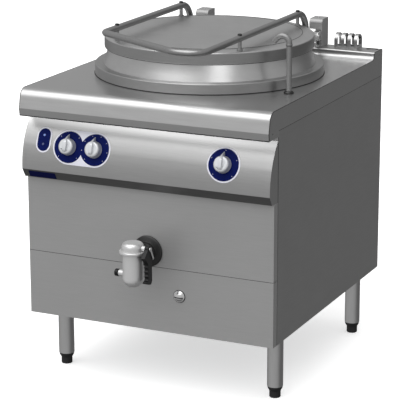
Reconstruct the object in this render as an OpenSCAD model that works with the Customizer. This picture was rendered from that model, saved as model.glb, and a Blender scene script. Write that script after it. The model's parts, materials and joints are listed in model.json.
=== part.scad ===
// Free-standing gas boiling pan, 150 litres.
// Everything is drawn with x to the right, y from the worktop's front edge to the back
// and z up from the floor; at_rest() then moves the whole unit over its own middle.

/* [Cabinet] */
// Width of the worktop and of the cabinet
unit_w = 800; // [790:1:900]
// Depth from the worktop's front edge to the back
unit_d = 915; // [905:1:960]
// Height of the worktop over the floor
top_z = 900; // [880:1:950]
// Height of the cabinet's lower edge over the floor
base_z = 200; // [150:1:220]
// Thickness of the worktop sheet
top_t = 2; // [1.5:0.5:3]
// Thickness of the panel sheets
sheet_t = 1.5; // [1:0.25:2]
// Height of the base tray's rim
tray_rim_h = 30; // [20:1:40]
// How far the front panels stand before the side panels
front_proud = 27.4; // [20:0.2:32]
// Height of the seam between the two front panels
seam_z = 397; // [360:1:402]
// Width of that seam
seam_gap = 1.2; // [0.6:0.2:3]

/* [Worktop] */
// Radius of the rounded front edge
nose_r = 38; // [20:1:40]
// Height of the front fascia
front_drop = 80; // [74:1:86]
// Height of the tilted band at the fascia's foot
band_h = 22; // [15:1:26]
// How far that band leans back
band_lean = 3; // [0:0.5:6]
// Height of the skirt along the sides
side_drop = 62; // [56:1:66]
// Depth of the deeper front end of the worktop
cheek_d = 69; // [66:1:72]
// Depth of the rear rail
rail_d = 75; // [70:1:80]
// Height of the rear rail over the worktop
rail_h = 24; // [18:1:30]
// Radius of the cove at the rail's foot
cove_r = 16; // [8:1:17]
// Radius of the rail's upper edges
rail_edge_r = 5; // [2:0.5:7]
// Length of the shallow press mark at the rail's right end
mark_l = 38; // [20:1:50]
// Width of that press mark
mark_w = 24; // [12:1:30]
// Depth of that press mark
mark_t = 1; // [0.4:0.1:1.2]

/* [Pan] */
// Distance of the pan's centre from the worktop's front edge
pan_y = 470.8; // [465:0.2:475]
// Width of the raised ring outside the rim's flare
ring_w = 26.5; // [22:0.5:30]
// Height of the raised ring
ring_h = 32; // [24:1:40]
// How far the rim's flare widens down to the ring
flare_w = 14.5; // [10:0.5:18]
// Inner radius of the vessel
vessel_r = 300; // [290:1:302]
// Thickness of the vessel's wall
vessel_t = 2.5; // [2:0.5:3]
// Width of the rim at its top, from the vessel's inside to its outer edge
rim_w = 9; // [7:0.5:12]
// Height of the rim over the worktop
rim_h = 82; // [74:1:86]
// Height of the vessel's inner floor
vessel_floor_z = 425; // [418:1:430]
// Radius between the vessel's wall and floor
vessel_corner_r = 36; // [20:1:60]
// Thickness of the insulation round the vessel
insulation_t = 36; // [20:1:40]
// Width of the gas way between the vessel and the combustion chamber's wall
gas_way = 30; // [20:1:34]
// Height of the chamber's upper edge
chamber_top_z = 475; // [470:1:490]
// Radius of the ring burner
burner_r = 170; // [120:1:220]
// Diameter of the burner's tube
burner_tube_d = 32; // [24:1:40]
// Height of the burner's centre line
burner_z = 334; // [320:1:350]

/* [Lid] */
// How far the lid stands over the rim
lid_over = 11; // [8:1:13]
// Gap between the lid's lower edge and the rim
lid_gap = 0.4; // [0.3:0.1:1]
// Height of the lid's wall
lid_wall_h = 35.6; // [30:0.2:42]
// Rise of the lid's top from its edge to the flat disc
lid_rise = 4.5; // [2:0.5:8]
// Width of the sloping band round the lid's flat disc
lid_band = 37; // [30:1:50]
// Thickness of the lid's sheets
lid_t = 1.5; // [1:0.25:2]
// Width of the gasket
gasket_w = 9.5; // [6:0.5:12]
// Height of the lid's liner over the rim
liner_up = 6; // [5:0.5:10]

/* [Handle] */
// Diameter of the handle's tube
handle_d = 20; // [16:1:22]
// Wall of the handle's tube
handle_t = 1.5; // [1:0.25:3]
// Half the distance between the handle's two arms
arm_x = 200; // [190:1:210]
// Height of the handle over the worktop
handle_h = 155; // [150:1:165]
// Front end of the right arm, from the worktop's front edge
bar_right_y = -18; // [-24:1:0]
// Bend radius at the right arm
bar_right_r = 50; // [40:1:54]
// Length of the straight piece between the right arm's bend and the next one
bar_straight = 12; // [6:1:30]
// Bend radius between that piece and the oblique bar
bar_mid_r = 90; // [60:1:100]
// Slant of the oblique bar in degrees
bar_angle = 30; // [20:1:36]
// Bend radius at the left arm
bar_left_r = 25; // [20:1:40]
// Radius of the arms' bend down to the hinge
arm_bend_r = 65; // [50:1:68]
// Distance of the arms' rear leg from the hinge axis
arm_leg_back = 85; // [80:1:90]
// Distance of the front studs from the pan's centre
stud_front = 223.8; // [210:0.1:230]
// Distance of the rear studs from the pan's centre
stud_rear = 217.2; // [210:0.1:219]
// Diameter of the studs
stud_d = 11; // [8:1:14]
// Diameter of the studs' feet
stud_foot_d = 17; // [14:1:18]
// Diameter of the caps over the studs
stud_cap_d = 13; // [10:1:16]

/* [Hinges] */
// Distance of the hinge axis from the back
hinge_back = 73; // [72:1:75]
// Height of the hinge axis over the worktop
hinge_h = 60; // [54:1:62]
// Diameter of the hinge pins
hinge_pin_d = 10; // [8:1:12]
// Radius of the lever's and the bracket's eyes
eye_r = 14; // [12:0.5:15]
// Thickness of the hinge levers
lever_t = 12; // [8:1:14]
// Thickness of the bracket's cheeks
cheek_t = 4; // [3:0.5:5]
// Outer radius of the lever's socket for the arm
socket_r = 14; // [13:0.5:16]
// Width of the hinge housings
housing_w = 44; // [42:1:52]
// Depth of the hinge housings
housing_d = 55; // [50:1:56]
// Height of the hinge housings over the worktop
housing_h = 113; // [100:1:116]
// Height of the housings' front lip
housing_lip = 33; // [20:1:38]
// Radius of the housings' front upper edge
housing_edge_r = 13; // [6:1:16]
// How far a housing's middle lies left of its arm
housing_shift = 8; // [6:1:9]

/* [Control panel] */
// Radius of the panel's bulge
bulge_r = 214; // [200:1:260]
// Height of the bulge's axis
bulge_z = 663.8; // [655:0.2:670]
// Distance of the bulge's nearest line from the worktop's front edge
bulge_y = 9.4; // [6:0.2:14]
// Height where the bulge ends and the underside begins
brow_z = 657; // [650:1:662]
// Height of the panel's lower edge
panel_low_z = 630; // [624:1:640]
// Slope of the underside, in degrees from the horizontal
brow_angle = 58.4; // [45:0.2:70]
// Height of the dials' centres
dial_z = 735; // [728:1:742]
// Distance of the left dial from the left side
dial_left_in = 153; // [145:1:157]
// Distance between the left dial and the middle one
dial_pitch = 86.2; // [84:0.2:96]
// Distance of the right dial from the right side
dial_right_in = 148.3; // [130:0.1:170]
// Radius of a blue dial face
dial_r = 47; // [42:0.5:48]
// Width of the pale border round the faces
border_w = 4.5; // [2:0.5:6]
// Distance of the lamp plate from the left side
lamp_plate_in = 68; // [62:1:74]
// Height of the lamp plate's centre
lamp_plate_z = 748; // [744:1:752]
// Width of the lamp plate's blue face
lamp_plate_w = 40; // [30:1:44]
// Length of the lamp plate's blue face
lamp_plate_l = 68; // [60:1:74]
// Distance between the two lamps
lamp_pitch = 27; // [20:1:36]
// Diameter of a lamp's lens
lamp_d = 7; // [5:0.5:10]
// Thickness of the plates under the dials
plate_t = 1; // [0.6:0.1:2]
// Thickness of the blue faces
face_t = 0.5; // [0.3:0.1:1]

/* [Knobs] */
// Diameter of a knob
knob_d = 50; // [44:1:56]
// Depth of a knob's round body
knob_h = 22; // [16:1:26]
// Depth of a knob with its grip
grip_h = 31; // [28:1:36]
// Width of the grip
grip_w = 11; // [8:1:14]
// Reach of the pointer from the knob's axis
pointer_r = 37; // [30:1:40]
// Diameter of the spindles
spindle_d = 8; // [6:1:10]

/* [Drain tap] */
// Height of the drain pipe's centre line
drain_z = 443; // [441:1:446]
// Outer diameter of the drain pipe
drain_d = 42; // [36:1:46]
// Wall of the drain pipe
drain_t = 2; // [1.5:0.5:3]
// Distance of the tap's axis before the worktop's front edge
tap_out = 56; // [52:1:66]
// Radius of the tap's body
tap_r = 30.5; // [28:0.5:33]
// Height of the tap's outlet over the floor
tap_low_z = 365; // [358:1:370]
// Height of the tap's collar
collar_z = 464; // [462:1:474]
// Thickness of the collar
collar_t = 8; // [5:1:10]
// Radius of the collar
collar_r = 40; // [36:0.5:41]
// Height of the cap over the collar
cap_h = 25; // [20:1:32]
// Radius of the outlet's bore
outlet_r = 15; // [12:0.5:16]
// Radius of the black flange on the front panel
flange_r = 47; // [42:1:54]
// Height of the lever's pin over the collar
lever_up = 9; // [8:0.5:12]
// Diameter of the lever's pin
lever_pin_d = 7; // [5:0.5:8]
// Gap between the collar and the lever
lever_gap = 2; // [1.5:0.1:4]
// Thickness of the lever
tap_lever_t = 13; // [10:1:18]
// Length of the lever under its pin
tap_lever_l = 108; // [100:1:120]
// Lift of the tap's plunger with the lever up
plunger_lift = 10; // [6:1:12]
// Height of the side stub
stub_z = 399; // [396:1:404]
// Radius of the side stub
stub_r = 10; // [8:0.5:11]
// Reach of the side stub from the tap's axis
stub_reach = 44; // [40:1:48]
// Length of the stub's cap
stub_cap_l = 13; // [10:1:16]

/* [Spout] */
// Distance of the spout from the right side
spout_in = 58; // [54:1:62]
// Place of the spout from the worktop's front edge
spout_y = 279; // [270:1:290]
// Diameter of the spout's tube
spout_d = 17; // [14:1:18]
// Wall of the spout's tube
spout_t = 1.5; // [1:0.25:2]
// Height of the spout's lower straight tube over the worktop
spout_h = 146; // [140:1:152]
// Radius of the gooseneck
neck_r = 21; // [18:0.5:24]
// Length of the spout's end beyond the gooseneck
nozzle_l = 17; // [10:1:22]
// Turn of the gooseneck in degrees
neck_turn = 135; // [120:1:150]

/* [Flue] */
// Distance of the flue from the right side
flue_in = 108.2; // [105:0.2:115]
// Width of the flue guard
guard_w = 78; // [72:1:84]
// Depth of the flue guard
guard_d = 46; // [40:1:50]
// Height of the guard's frame
guard_base_h = 6; // [4:1:10]
// Height of the guard's arches over the rail
guard_h = 46; // [40:1:56]
// Number of arches
arch_count = 4; // [3:1:5]
// Width of an arch's strip
arch_w = 12; // [8:1:13]
// Thickness of an arch's strip
arch_t = 2.5; // [1.5:0.5:4]
// Width of the flue duct
duct_w = 60; // [50:1:62]
// Depth of the flue duct
duct_d = 32; // [26:1:34]

/* [Legs] */
// Distance of the legs' middles from the cabinet's sides
leg_in = 48; // [40:1:70]
// Distance of the front legs from the worktop's front edge
leg_front_y = 173; // [160:1:190]
// Distance of the rear legs from the back
leg_back = 99; // [80:1:120]
// Diameter of a leg's tube
leg_d = 48; // [42:1:54]
// Wall of a leg's tube
leg_t = 2; // [1.5:0.5:3]
// Height of a leg's lower end over the floor
leg_low_z = 35; // [32:1:45]
// Diameter of a foot's pad
foot_d = 34; // [28:1:40]
// Diameter of a foot's threaded stem
stem_d = 16; // [12:1:18]
// Length of the stem inside the leg
stem_l = 70; // [65:1:90]
// Travel of a foot
foot_travel = 40; // [30:1:45]

/* [Supply] */
// Diameter of the gas pipe
gas_d = 21; // [16:1:22]
// Diameter of the water pipes
water_d = 15; // [12:1:16]
// Diameter of the pipe from the gas valve to the burner
feed_d = 12; // [8:1:14]
// Distance of the inlets from the cabinet's sides
inlet_in = 38; // [36:1:42]
// Distance of the inlets from the back
inlet_back = 55; // [50:1:60]
// How far the inlet stubs reach below the cabinet
inlet_l = 28; // [25:1:40]

/* [Hidden] */
$fn = 96;

// Fits and gaps
fit = 0.05;
seat = 0.3;
eps = 0.01;

// The unit's middle lies between the tap's collar and the back
mid_y = (unit_d - tap_out - collar_r) / 2;
half_w = unit_w / 2;
panel_x = half_w - sheet_t;
panel_top_z = top_z - side_drop;
fascia_low_z = top_z - front_drop;
front_y = cheek_d - front_proud;
rail_y = unit_d - rail_d;
rail_z = top_z + rail_h;
back_flange_w = 15;
front_flange_w = 18;
back_y = unit_d - sheet_t;
front_inset = 0.4;
panel_half = half_w - 0.6;
end_screw_r = 2.5;
rear_screw = [unit_d - 0.4 * rail_d, top_z + rail_h / 3];
front_screw = [0.4 * cheek_d, fascia_low_z + band_h - 5.4];
louvre_count = 6;
louvre_x = unit_w * 0.1875;
louvre_w = unit_w * 0.15;
louvre_h = 8;
louvre_pitch = 22;
louvre_low_z = panel_top_z - 218;

// The pan and what stands round it
rim_z = top_z + rim_h;
ring_z = top_z + ring_h;
vessel_out_r = vessel_r + vessel_t;
rim_r = vessel_r + rim_w;
flare_r = rim_r + flare_w;
ring_r = flare_r + ring_w;
chamber_r = vessel_r + gas_way;
ring_t = 2;
ring_inner_r = flare_r - 8;
well_hole_r = ring_r - ring_t - 4;
chamber_t = 2;
chamber_flange_r = vessel_out_r + 1;
insulation_r = vessel_out_r + 0.5 + insulation_t;
insulation_top_z = top_z - top_t - 18;
tray_t = 2;
tray_x = panel_x - seat;
tray_y0 = cheek_d + sheet_t + seat;
tray_y1 = back_y - sheet_t - seat;
stand_z = burner_z - burner_tube_d / 2;
stand_w = 24;

// The lid
lid_r = rim_r + lid_over;
lid_flat_r = lid_r - lid_band;
lid_low_z = rim_z + lid_gap;
lid_edge_z = lid_low_z + lid_wall_h;
lid_top_z = lid_edge_z + lid_rise;
lid_hem_r = rim_r - 3;
liner_z = rim_z + liner_up;
gasket_out_r = lid_hem_r - seat;
edge_r = 4;

// The handle
hinge_y = unit_d - hinge_back;
hinge_z = top_z + hinge_h;
stud_front_y = pan_y - stud_front;
stud_rear_y = pan_y + stud_rear;
socket_floor = 4;
handle_z = top_z + handle_h;
handle_r = handle_d / 2;
arm_leg_y = hinge_y - arm_leg_back;
bend_start_y = arm_leg_y - arm_bend_r;
arm_low_z = hinge_z - eye_r + socket_floor;
arm_leg_l = handle_z - arm_bend_r - arm_low_z;
arm_right_l = bend_start_y - bar_right_y - bar_right_r;
bar_l = (2 * arm_x - bar_right_r - bar_straight - bar_mid_r * sin(bar_angle)
    - bar_left_r * (1 - sin(bar_angle))) / cos(bar_angle);
arm_left_l = bend_start_y - bar_right_y - bar_mid_r * (1 - cos(bar_angle))
    - bar_l * sin(bar_angle) - bar_left_r * cos(bar_angle);

// The hinges
cheek_x = lever_t / 2 + seat;
pin_r = hinge_pin_d / 2;
housing_y = unit_d - housing_d;
socket_low_z = hinge_z - eye_r;
socket_top_z = hinge_z + eye_r + 2;
bracket_base_t = 4;

// The control panel
dial_left_x = -half_w + dial_left_in;
dial_middle_x = dial_left_x + dial_pitch;
dial_right_x = half_w - dial_right_in;
lamp_plate_x = -half_w + lamp_plate_in;
bulge_cy = bulge_y + bulge_r;
brow_dir = [cos(brow_angle), -sin(brow_angle)];
brow_in = [sin(brow_angle), cos(brow_angle)];
brow_y = bulge_cy - sqrt(bulge_r * bulge_r - pow(brow_z - bulge_z, 2));
dial_tilt = asin((dial_z - bulge_z) / bulge_r);
lamp_tilt = asin((lamp_plate_z - bulge_z) / bulge_r);
plate_left_x = lamp_plate_x - 48;
plate_right_x = lamp_plate_x + 41;
spindle_r = spindle_d / 2;
film_gap = 0.1;
knob_gap = 0.6;
knob_foot = plate_t + face_t + knob_gap;

// The valves and their ports, and the pipes behind the front
valve_depth = 30;
valve_w = 36;
valve_d = 34;
gas_valve_w = 46;
gas_valve_d = 40;
valve_nose_l = 12;
valve_nose_r = 13;
valve_front = -valve_nose_l - sheet_t;
valve_seat = bulge_r - sqrt(pow(bulge_r - sheet_t, 2) - valve_nose_r * valve_nose_r);
gas_port = 11.5;
water_port = 9;
port_y = front_y + 18;
inlet_x = half_w - inlet_in;
inlet_y = unit_d - inlet_back;
inlet_nut = 4;
inlet_nut_h = 6;
run_z = base_z + 50;
run_y = 105;
supply_bend = 30;
port_bend = 20;
burner_in = 60;
burner_in_y = pan_y - sqrt(burner_r * burner_r - burner_in * burner_in);
feed_y = 112;
feed_z = burner_z - burner_tube_d / 2 - 28;
feed_bend = 25;
feed_rise = 15;
spout_run_y = 160;

// The tap
tap_y = -tap_out;
lever_z = collar_z + collar_t + lever_up;
cap_z = collar_z + collar_t;
lever_x = collar_r + lever_gap;
flange_h = 20;
plunger_r = outlet_r + 4;
stem_r = 5;
cavity_r = tap_r - 5;
seat_z = tap_low_z + 22;
wave_count = 4;
strap_t = 3;
plug_x = 101;
plug_z = 316.6;
plug_r = 18;

// The spout and the flue
spout_x = half_w - spout_in;
flue_x = half_w - flue_in;
spout_r = spout_d / 2;
spout_below = 60;
spout_flange_r = 15;
spout_flange_h = 6;
duct_wall = 1.2;
duct_z0 = 396;
duct_z1 = 456;

// The legs
leg_x = half_w - leg_in;
leg_rear_y = unit_d - leg_back;
stem_r_leg = stem_d / 2;
insert_h = 12;

module at_rest() translate([0, -mid_y, 0]) children();

// A bent round bar that starts upwards from the origin. Each step is [roll, length, bend, radius]:
// it rolls about its own line, runs straight and then bends towards its own x. A swell makes the
// bends a hair thicker than the straights and laps them over each other.
module bent_bar(steps, r, over = 0, swell = 0, i = 0) {
    lap = swell > 0 ? 1 : 0;
    step = steps[i];
    last = i == len(steps) - 1;
    before = i == 0 ? over : 0;
    after = last ? over : 0;
    rotate(step[0]) union() {
        translate([0, 0, -before]) cylinder(r = r, h = step[1] + before + after);
        if (!last) translate([step[3], 0, step[1]]) {
            rotate([90, 0, 180]) rotate(-lap) rotate_extrude(angle = step[2] + 2 * lap)
                translate([step[3], 0]) circle(r + swell);
            rotate([0, step[2], 0]) translate([-step[3], 0, 0]) bent_bar(steps, r, over, swell, i + 1);
        }
    }
}

// The same thing at the right (1) or at the left (-1)
module mirrored(s) mirror([s < 0 ? 1 : 0, 0, 0]) children();

// Lifts a drawing from the xy plane into a plane of constant x: x becomes y and y becomes z
module upright(x) translate([x, 0, 0]) rotate([90, 0, 90]) children();

// A yz outline drawn across the unit between two places
module across(x0, x1) upright(x0) linear_extrude(x1 - x0) children();

// A box between two corners
module block(a, b) translate(a) cube(b - a);

// The corner piece that is cut away to round an edge
module corner_cut(r, q) mirror([q[0] < 0 ? 1 : 0, 0]) mirror([0, q[1] < 0 ? 1 : 0])
    difference() {
        square(r + 1);
        circle(r);
    }

// The worktop's side view, drawn inwards by k
module worktop_outline(k) {
    low = k > 0 ? panel_top_z - 20 : panel_top_z;
    back = cheek_d + (k > 0 ? eps : 0);
    cove_y = rail_y - cove_r;
    cove_z = top_z + cove_r;
    difference() {
        polygon([
            [band_lean + k, fascia_low_z + k], [k, fascia_low_z + band_h], [k, top_z - k],
            [cove_y, top_z - k], [cove_y, cove_z], [rail_y + k, cove_z], [rail_y + k, rail_z - k],
            [unit_d - k, rail_z - k], [unit_d - k, low], [back, low], [back, fascia_low_z + k]]);
        translate([cove_y, cove_z]) circle(cove_r + k);
        translate([nose_r, top_z - nose_r]) corner_cut(nose_r - k, [-1, 1]);
        translate([rail_y + rail_edge_r, rail_z - rail_edge_r])
            corner_cut(rail_edge_r - k, [-1, 1]);
        translate([unit_d - rail_edge_r, rail_z - rail_edge_r])
            corner_cut(rail_edge_r - k, [1, 1]);
    }
}

module press_mark() {
    r = mark_w / 2;
    middle_y = unit_d - mark_w / 2 - 9;
    right = half_w - 8 - r;
    translate([0, middle_y, rail_z - mark_t]) {
        translate([right, 0, 0]) cylinder(r = r, h = mark_t + 1);
        translate([right - mark_l + mark_w, 0, 0]) cylinder(r = r, h = mark_t + 1);
        translate([right - mark_l + mark_w, -r, 0]) cube([mark_l - mark_w, mark_w, mark_t + 1]);
    }
}

module worktop() at_rest() color("#8C8C8C") difference() {
    across(-half_w, half_w) worktop_outline(0);
    across(-half_w + top_t, half_w - top_t) worktop_outline(top_t);
    translate([0, pan_y, top_z - top_t - 1]) cylinder(r = well_hole_r, h = top_t + 2, $fn = 180);
    translate([spout_x, spout_y, top_z - top_t - 1]) cylinder(r = spout_r + seat, h = top_t + 2);
    block([flue_x - duct_w / 2 - seat, flue_y0() - seat, rail_z - top_t - 1],
          [flue_x + duct_w / 2 + seat, flue_y0() + duct_d + seat, rail_z + 1]);
    press_mark();
    end_screw_places() cylinder(r = end_screw_r, h = 2 * top_t + 2);
}

// The raised ring: an outer wall, a flat annulus and a lip into the well
module well_ring() at_rest() color("#868686")
    translate([0, pan_y, 0]) rotate_extrude($fn = 180) polygon([
        [ring_r, top_z], [ring_r, ring_z - 2], [ring_r - 2, ring_z], [ring_inner_r, ring_z],
        [ring_inner_r, top_z + 6], [ring_inner_r + ring_t, top_z + 6],
        [ring_inner_r + ring_t, ring_z - ring_t], [ring_r - ring_t, ring_z - ring_t],
        [ring_r - ring_t, top_z]]);

// Half of the vessel's outside, and its section with the inside taken out
module vessel_outline() {
    c = vessel_corner_r;
    translate([0, vessel_floor_z - vessel_t]) square([vessel_out_r - c, c + vessel_t]);
    translate([vessel_r - c, vessel_floor_z + c]) circle(c + vessel_t);
    translate([0, vessel_floor_z + c]) square([vessel_out_r, rim_z - vessel_floor_z - c]);
}
module vessel_section() {
    c = vessel_corner_r;
    difference() {
        vessel_outline();
        translate([0, vessel_floor_z]) square([vessel_r - c, c + 1]);
        translate([vessel_r - c, vessel_floor_z + c]) circle(c);
        translate([0, vessel_floor_z + c]) square([vessel_r, rim_z]);
    }
}
module rim_section() polygon([
    [vessel_r + 1, rim_z], [rim_r, rim_z], [rim_r + 3, rim_z - 16], [flare_r, ring_z],
    [flare_r - 3, ring_z], [rim_r + 0.6, rim_z - 16], [rim_r - 2, rim_z - vessel_t],
    [vessel_r + 1, rim_z - vessel_t]]);

module vessel() at_rest() color("#9C9C9C") translate([0, pan_y, 0]) difference() {
    union() {
        rotate_extrude($fn = 180) intersection() {
            vessel_section();
            square([half_w, rim_z]);
        }
        rotate_extrude($fn = 180) rim_section();
    }
    translate([0, -vessel_r + vessel_corner_r, drain_z]) rotate([90, 0, 0])
        cylinder(r = drain_d / 2 - drain_t, h = vessel_corner_r + 10);
}

module insulation() at_rest() color("#C9B98A") translate([0, pan_y, 0])
    rotate_extrude($fn = 120)
        translate([vessel_out_r + 0.5, chamber_top_z])
            square([insulation_t, insulation_top_z - chamber_top_z]);

module combustion_chamber() at_rest() color("#6F6F72") difference() {
    translate([0, pan_y, 0]) rotate_extrude($fn = 120) polygon([
        [chamber_r, base_z + tray_t], [chamber_r + chamber_t, base_z + tray_t],
        [chamber_r + chamber_t, chamber_top_z], [chamber_flange_r, chamber_top_z],
        [chamber_flange_r, chamber_top_z - chamber_t], [chamber_r, chamber_top_z - chamber_t]]);
    translate([0, pan_y, drain_z]) rotate([90, 0, 0])
        cylinder(r = drain_d / 2 + 1, h = pan_y);
    duct_space(-duct_wall);
    translate([-burner_in, pan_y, feed_z]) rotate([90, 0, 0]) cylinder(r = feed_d / 2 + 1, h = pan_y);
}

// The ring burner with four spokes, a hub and its flame ports
module burner() at_rest() color("#4A4A4C") translate([0, pan_y, burner_z]) difference() {
    union() {
        rotate_extrude($fn = 96) translate([burner_r, 0]) circle(burner_tube_d / 2);
        for (a = [45:90:315]) rotate([0, 90, a]) cylinder(r = 8, h = burner_r);
        translate([0, 0, -burner_tube_d / 2]) cylinder(r = 26, h = burner_tube_d);
    }
    for (a = [0:15:345]) rotate(a) translate([burner_r, 0, 8]) cylinder(r = 2, h = 20, $fn = 16);
}

// The cross that carries the burner, on four feet
module burner_stand() at_rest() color("#6F6F72") translate([0, pan_y, 0]) {
    for (a = [0, 90]) rotate(a)
        block([-burner_r - 20, -stand_w / 2, stand_z - 4], [burner_r + 20, stand_w / 2, stand_z]);
    for (a = [0:90:270]) rotate(a)
        block([burner_r + 16, -stand_w / 2, base_z + tray_t], [burner_r + 20, stand_w / 2, stand_z]);
}

// The flue: level from the chamber to the back, then up through the rail
function flue_y0() = unit_d - rail_edge_r - duct_d - 2;
module duct_space(k) {
    x0 = flue_x - duct_w / 2 + k;
    x1 = flue_x + duct_w / 2 - k;
    block([x0, pan_y + 60, duct_z0 + k], [x1, flue_y0() + duct_d - k, duct_z1 - k]);
    block([x0, flue_y0() + k, duct_z0 + k], [x1, flue_y0() + duct_d - k, rail_z + (k > 0 ? 1 : 0)]);
}
module flue_duct() at_rest() color("#77777A") difference() {
    duct_space(0);
    duct_space(duct_wall);
    translate([0, pan_y, 0]) cylinder(r = chamber_r + chamber_t, h = top_z, $fn = 120);
}

// The guard over the flue: a frame with bright strips bent into arches
module flue_guard() at_rest() color("#C8C8C8") {
    x0 = flue_x - guard_w / 2;
    y1 = unit_d - 0.5;
    y0 = y1 - guard_d;
    r = guard_d / 2;
    pitch = (guard_w - arch_w) / (arch_count - 1);
    union() {
        difference() {
            block([x0, y0, rail_z], [x0 + guard_w, y1, rail_z + guard_base_h]);
            block([x0 + 5, y0 + 5, rail_z - 1], [x0 + guard_w - 5, y1 - 5, rail_z + guard_base_h + 1]);
        }
        for (i = [0:arch_count - 1]) across(x0 + i * pitch, x0 + i * pitch + arch_w)
            translate([y0 + r, rail_z + guard_h - r]) difference() {
                union() {
                    circle(r);
                    translate([-r, guard_base_h - guard_h + r - eps])
                        square([2 * r, guard_h - r - guard_base_h + eps]);
                }
                circle(r - arch_t);
                translate([-r + arch_t, -guard_h])
                    square([2 * (r - arch_t), guard_h]);
            }
    }
}

// A side panel: one sheet with flanges turned in at its front, back and foot
module side_panel(s) at_rest() color("#6A6A6A") mirrored(s) union() {
    block([panel_x, cheek_d, base_z], [half_w, unit_d, panel_top_z]);
    block([panel_x - front_flange_w, cheek_d, base_z], [panel_x + eps, cheek_d + sheet_t, panel_top_z]);
    block([panel_x - back_flange_w, unit_d - sheet_t, base_z], [panel_x + eps, unit_d, panel_top_z]);
}
module left_side_panel() side_panel(-1);
module right_side_panel() side_panel(1);

// The back panel with two columns of louvres
module back_panel() at_rest() color("#707070") difference() {
    block([-panel_x + seat, back_y - sheet_t, base_z], [panel_x - seat, back_y, panel_top_z]);
    for (i = [0:louvre_count - 1]) for (s = [-1, 1])
        translate([s * louvre_x, back_y, louvre_low_z + i * louvre_pitch])
            block([-louvre_w / 2, -sheet_t - 1, -louvre_h / 2], [louvre_w / 2, 1, louvre_h / 2]);
}

// The base tray with its slots for the burner's air
module base_tray() at_rest() color("#66666A") difference() {
    block([-tray_x, tray_y0, base_z], [tray_x, tray_y1, base_z + tray_rim_h]);
    block([-tray_x + tray_t, tray_y0 + tray_t, base_z + tray_t],
          [tray_x - tray_t, tray_y1 - tray_t, base_z + tray_rim_h + 1]);
    for (i = [-4:4]) for (s = [-1, 1]) translate([i * 30 - 5, pan_y + s * 75 - 50, base_z - 1])
        cube([10, 100, tray_t + 2]);
    for (p = [[-inlet_x, gas_d], [inlet_x, water_d]]) translate([p[0], inlet_y, base_z - 1])
        cylinder(r = p[1] / 2 + seat, h = tray_t + 2);
}

// A front panel: a shallow tray that closes the cabinet between two heights
module front_tray(z0, z1) difference() {
    block([-half_w + front_inset, front_y, z0], [half_w - front_inset, cheek_d, z1]);
    block([-half_w + front_inset + sheet_t, front_y + sheet_t, z0 + sheet_t],
          [half_w - front_inset - sheet_t, cheek_d + 1, z1 - sheet_t]);
}
module upper_front_panel() at_rest() color("#878787") difference() {
    front_tray(seam_z + seam_gap / 2, panel_low_z - seat);
    translate([0, front_y - 1, drain_z]) rotate([-90, 0, 0])
        cylinder(r = drain_d / 2 + 1, h = sheet_t + 2);
}
module lower_front_panel() at_rest() color("#878787") difference() {
    front_tray(base_z, seam_z - seam_gap / 2);
    translate([plug_x, front_y - 1, plug_z]) rotate([-90, 0, 0])
        cylinder(r = plug_r - 4 + seat, h = sheet_t + 2);
}

// The bulging control panel's side view, drawn inwards by k
module panel_outline(k) {
    low = [bulge_cy, panel_low_z + k];
    start = [brow_y, brow_z] + brow_in * k - brow_dir * 40;
    foot_len = (start[1] - low[1]) / sin(brow_angle);
    foot = start + brow_dir * foot_len;
    back = cheek_d + (k > 0 ? 1 : 0);
    intersection() {
        translate([bulge_cy, bulge_z]) circle(bulge_r - k, $fn = 240);
        polygon([start, foot, [back, low[1]], [back, fascia_low_z], [start[0] - 40, fascia_low_z]]);
    }
}
module control_panel() at_rest() color("#C4C4C4") difference() {
    union() {
        difference() {
            across(-panel_half, panel_half) panel_outline(0);
            across(-panel_half + sheet_t, panel_half - sheet_t) panel_outline(sheet_t);
        }
        block([-panel_half, cheek_d - 2 * sheet_t, fascia_low_z - 30],
              [panel_half, cheek_d, fascia_low_z]);
    }
    spindle_holes();
    lamp_holes();
}

// Places a drawing on the bulge at a height given by its tilt: z outwards, y up the panel
module on_panel(x, tilt)
    translate([x, bulge_cy - bulge_r * cos(tilt), bulge_z + bulge_r * sin(tilt)])
        rotate([90 - tilt, 0, 0]) children();

// A skin that follows the bulge between two heights over its surface
module skin(a, b) difference() {
    translate([-half_w, bulge_cy, bulge_z]) rotate([0, 90, 0])
        cylinder(r = bulge_r + b, h = unit_w, $fn = 240);
    translate([-half_w - 1, bulge_cy, bulge_z]) rotate([0, 90, 0])
        cylinder(r = bulge_r + a, h = unit_w + 2, $fn = 240);
}

module obround(w, l, h) {
    for (s = [-1, 1]) translate([0, s * (l - w) / 2, 0]) cylinder(r = w / 2, h = h);
    translate([-w / 2, -(l - w) / 2, 0]) cube([w, l - w, h]);
}
module plate_stamps(grow) {
    r = dial_r + grow;
    for (x = [dial_left_x, dial_middle_x]) on_panel(x, dial_tilt)
        translate([0, 0, -20]) cylinder(r = r, h = 40);
    if (grow > 0) on_panel((dial_left_x + dial_middle_x) / 2, dial_tilt)
        block([(dial_left_x - dial_middle_x) / 2, -r, -20], [(dial_middle_x - dial_left_x) / 2, r, 20]);
}
module spindle_holes() for (x = [dial_left_x, dial_middle_x, dial_right_x])
    on_panel(x, dial_tilt) translate([0, 0, -30]) cylinder(r = spindle_r + 2, h = 60);
module lamp_holes() for (s = [-1, 1]) on_panel(lamp_plate_x, lamp_tilt)
    translate([0, s * lamp_pitch / 2, -30]) cylinder(r = lamp_d / 2 + seat, h = 60);
module plates(grow, a, b) difference() {
    intersection() {
        skin(a, b);
        union() {
            plate_stamps(grow);
            on_panel(dial_right_x, dial_tilt) translate([0, 0, -20]) cylinder(r = dial_r + grow, h = 40);
            on_panel(lamp_plate_x, lamp_tilt) translate([0, 0, -20])
                obround(lamp_plate_w + 2 * grow, lamp_plate_l + 2 * grow, 40);
        }
    }
    spindle_holes();
    lamp_holes();
}
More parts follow.
